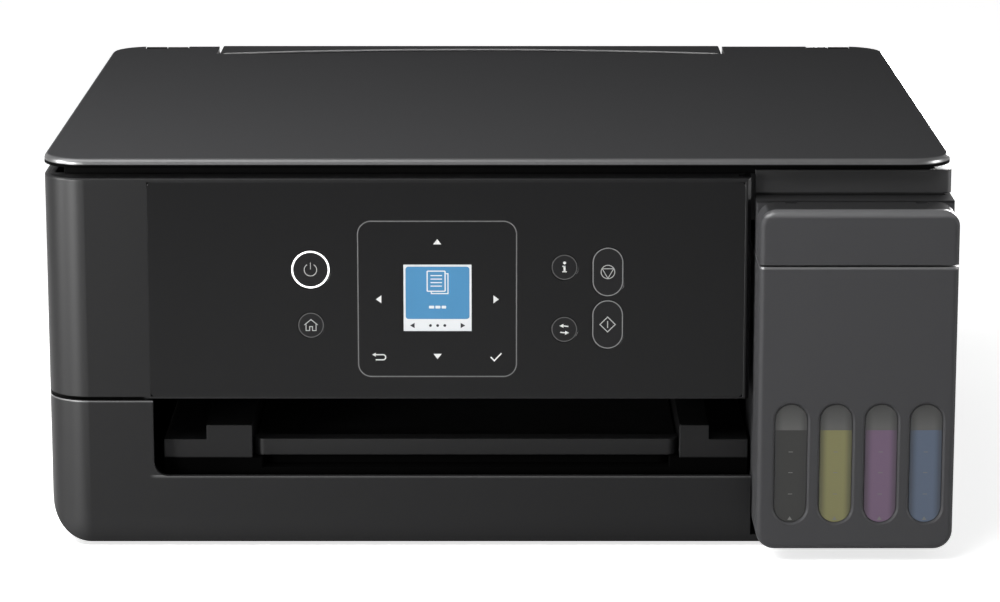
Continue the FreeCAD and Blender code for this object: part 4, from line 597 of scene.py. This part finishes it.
screenLayers = (("screenWhite", [patch(whole)], 0, "screenWhite"),
                ("screenField", [patch(field)], 1, "screenBlue"),
                ("screenSign", screenSign, 2, "screenWhite"),
                ("screenFootSigns", footSigns, 2, "screenInk"))
screenFace = faceOf("lcd")
for name, shapes, layer, paint in screenLayers:
    markPiece(name, shapes, screenFace - layer * screen["layer"], "scanner_unit", paint)

# level ticks and lower marks on the four sight windows
sight = {
    "proud": 0.06, "ticks": (47.7, 38.8, 29.6), "tickHalf": 0.9, "tickLine": 0.3,
    "lower": 19.2, "lowerLong": 1.6, "lowerBase": 1.9,
}
tickShapes = []
for number in range(len(ink["colours"])):
    x = ink["firstWindow"] + number * ink["pitch"]
    tickShapes += [band([(x - sight["tickHalf"], z), (x + sight["tickHalf"], z)], sight["tickLine"])
                   for z in sight["ticks"]]
    tickShapes.append(arrowHead(x, sight["lower"], 90, sight["lowerLong"], sight["lowerBase"]))
markPiece("tankTicks", tickShapes, faceOf("ink_reservoirs", sight["proud"]), "base", "tick")
print("screen and tank marks made")

# finger scoop's edge, a pale bead on the real rounded edge whose pale colour is a painted highlight: the
# arc's middle and radius, the bead's radius, and how fast it falls at the ends
scoop = {
    "x": -13.25, "y": -387.0, "z": 166.5, "radius": 547.0, "halfAngle": 12.93, "thick": 0.45, "taper": 80.0,
    "alongCount": 97, "aroundCount": 12, "colour": (0.246, 0.246, 0.246), "roughness": 0.45, "gloss": 0.25,
}


# a small circle carried along the scoop's arc, its radius falling to nothing at both ends
def scoopEdge():
    turn = np.linspace(-1.0, 1.0, scoop["alongCount"])
    around = np.linspace(0.0, 2.0 * math.pi, scoop["aroundCount"], endpoint=False)
    way, spin = np.meshgrid(turn, around, indexing="ij")
    thick = scoop["thick"] * np.minimum(1.0, (1.0 - np.abs(way)) * scoop["taper"])
    reach = scoop["radius"] + thick * np.cos(spin)
    angle = np.radians(scoop["halfAngle"]) * way
    points = np.stack([scoop["x"] + reach * np.sin(angle), scoop["y"] + reach * np.cos(angle),
                       scoop["z"] + thick * np.sin(spin)], axis=-1) * mm
    here = np.arange(len(around))
    there = np.roll(here, -1)
    first = np.arange(len(turn) - 1)[:, None] * len(around)
    second = first + len(around)
    faces = np.stack([first + here, first + there, second + there, second + here], axis=-1)
    mesh = bpy.data.meshes.new("scoopEdge")
    mesh.from_pydata(points.reshape(-1, 3).tolist(), [], faces.reshape(-1, 4).tolist())
    mesh.polygons.foreach_set("use_smooth", np.ones(len(mesh.polygons), bool))
    # pale colour: painted highlight along the edge, with a little real gloss
    mesh.materials.append(finish("scoopHighlight", scoop["colour"], scoop["roughness"], scoop["gloss"]))
    piece = bpy.data.objects.new("scoopEdge", mesh)
    scene.collection.objects.link(piece)
    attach(piece, "paper_support")


scoopEdge()
print("scoop edge made")

# stage: pale floor, white surround, soft lamps
stage = {
    "surroundLight": 0.26, "surroundSeen": 1.0,
    "floorReach": 6.0, "floorColour": (0.92, 0.92, 0.92, 1.0), "floorRoughness": 0.9, "floorSeen": 0.76,
}


# 1 for rays from the camera, off a mirror or through glass, and 0 for those that light the printer
def seenRays(tree):
    rays = makeNode(tree, "ShaderNodeLightPath")
    mirrored = combine(tree, "MAXIMUM", rays.outputs["Is Camera Ray"], rays.outputs["Is Glossy Ray"])
    return combine(tree, "MAXIMUM", mirrored, rays.outputs["Is Transmission Ray"])


def whiteSurround():
    world = bpy.data.worlds.new("studio")
    scene.world = world
    world.use_nodes = True
    tree = world.node_tree
    tree.nodes.clear()
    level = makeNode(tree, "ShaderNodeMapRange")
    setInputs(level, {"To Min": stage["surroundLight"], "To Max": stage["surroundSeen"]})
    glow = makeNode(tree, "ShaderNodeBackground")
    out = makeNode(tree, "ShaderNodeOutputWorld")
    join(tree, seenRays(tree), level.inputs["Value"])
    join(tree, level.outputs["Result"], glow.inputs["Strength"])
    join(tree, glow.outputs["Background"], out.inputs["Surface"])


def paleFloor():
    reach = stage["floorReach"]
    mesh = bpy.data.meshes.new("floor")
    mesh.from_pydata([(-reach, -reach, 0), (reach, -reach, 0), (reach, reach, 0), (-reach, reach, 0)], [],
                     [(0, 1, 2, 3)])
    paint, tree, shader = freshMaterial("floorWhite")
    setInputs(shader, {"Base Color": stage["floorColour"], "Roughness": stage["floorRoughness"],
                       "Specular IOR Level": 0.0, "Emission Color": (1.0, 1.0, 1.0, 1.0)})
    glow = combine(tree, "MULTIPLY", seenRays(tree), stage["floorSeen"])
    join(tree, glow, shader.inputs["Emission Strength"])
    mesh.materials.append(paint)
    floor = bpy.data.objects.new("floor", mesh)
    scene.collection.objects.link(floor)


# soft lamp aimed at the printer: its -Z axis points from its place to the aim
def softLamp(name, place, aim, size, power, fills=True):
    lamp = bpy.data.lights.new(name, "AREA")
    lamp.shape = "RECTANGLE"
    lamp.size, lamp.size_y = size
    lamp.energy = power
    holder = bpy.data.objects.new(name, lamp)
    scene.collection.objects.link(holder)
    holder.location = place
    way = np.array(aim) - np.array(place)
    flat = math.hypot(way[0], way[1])
    holder.rotation_euler = (math.atan2(flat, -way[2]), 0.0, math.atan2(-way[0], way[1]))
    holder.visible_diffuse = fills


# place, aim and size in metres, power in watts; the strips only show as reflections
lamps = {
    "keyLamp": ((-0.8, -0.7, 1.5), (-0.05, -0.05, 0.1), (1.2, 1.0), 2.6),
    "edgeLamp": ((-0.38, -0.40, 0.66), (-0.2, -0.13, 0.16), (0.9, 0.45), 7.5),
    "leftStrip": ((-1.7, -0.62, 0.4), (-0.15, -0.1, 0.1), (0.35, 0.9), 96.0, False),
    "cornerStrip": ((-1.23, -1.48, 0.2), (-0.18, -0.14, 0.1), (0.45, 0.38), 88.0, False),
    "rightStrip": ((1.75, -0.45, 0.3), (0.18, 0.0, 0.1), (0.5, 0.5), 60.0, False),
    "rearStrip": ((0.6, 1.8, 0.3), (0.0, 0.15, 0.1), (0.9, 0.5), 70.0, False),
}
whiteSurround()
paleFloor()
for name, lamp in lamps.items():
    softLamp(name, *lamp)

# camera: place in millimetres, pitch below the horizon in degrees
view = {"place": (1.2, -1658.7, 442.3), "down": 12.501, "lens": 133.45, "sensor": 36.0, "clipEnd": 50.0}
camera = bpy.data.cameras.new("photoCamera")
camera.lens = view["lens"]
camera.sensor_width = view["sensor"]
camera.clip_end = view["clipEnd"]
holder = bpy.data.objects.new("photoCamera", camera)
scene.collection.objects.link(holder)
holder.location = [value * mm for value in view["place"]]
holder.rotation_euler = (math.radians(90.0 - view["down"]), 0.0, 0.0)
scene.camera = holder
scene.view_settings.view_transform = "Standard"
print("stage, lamps and camera set")
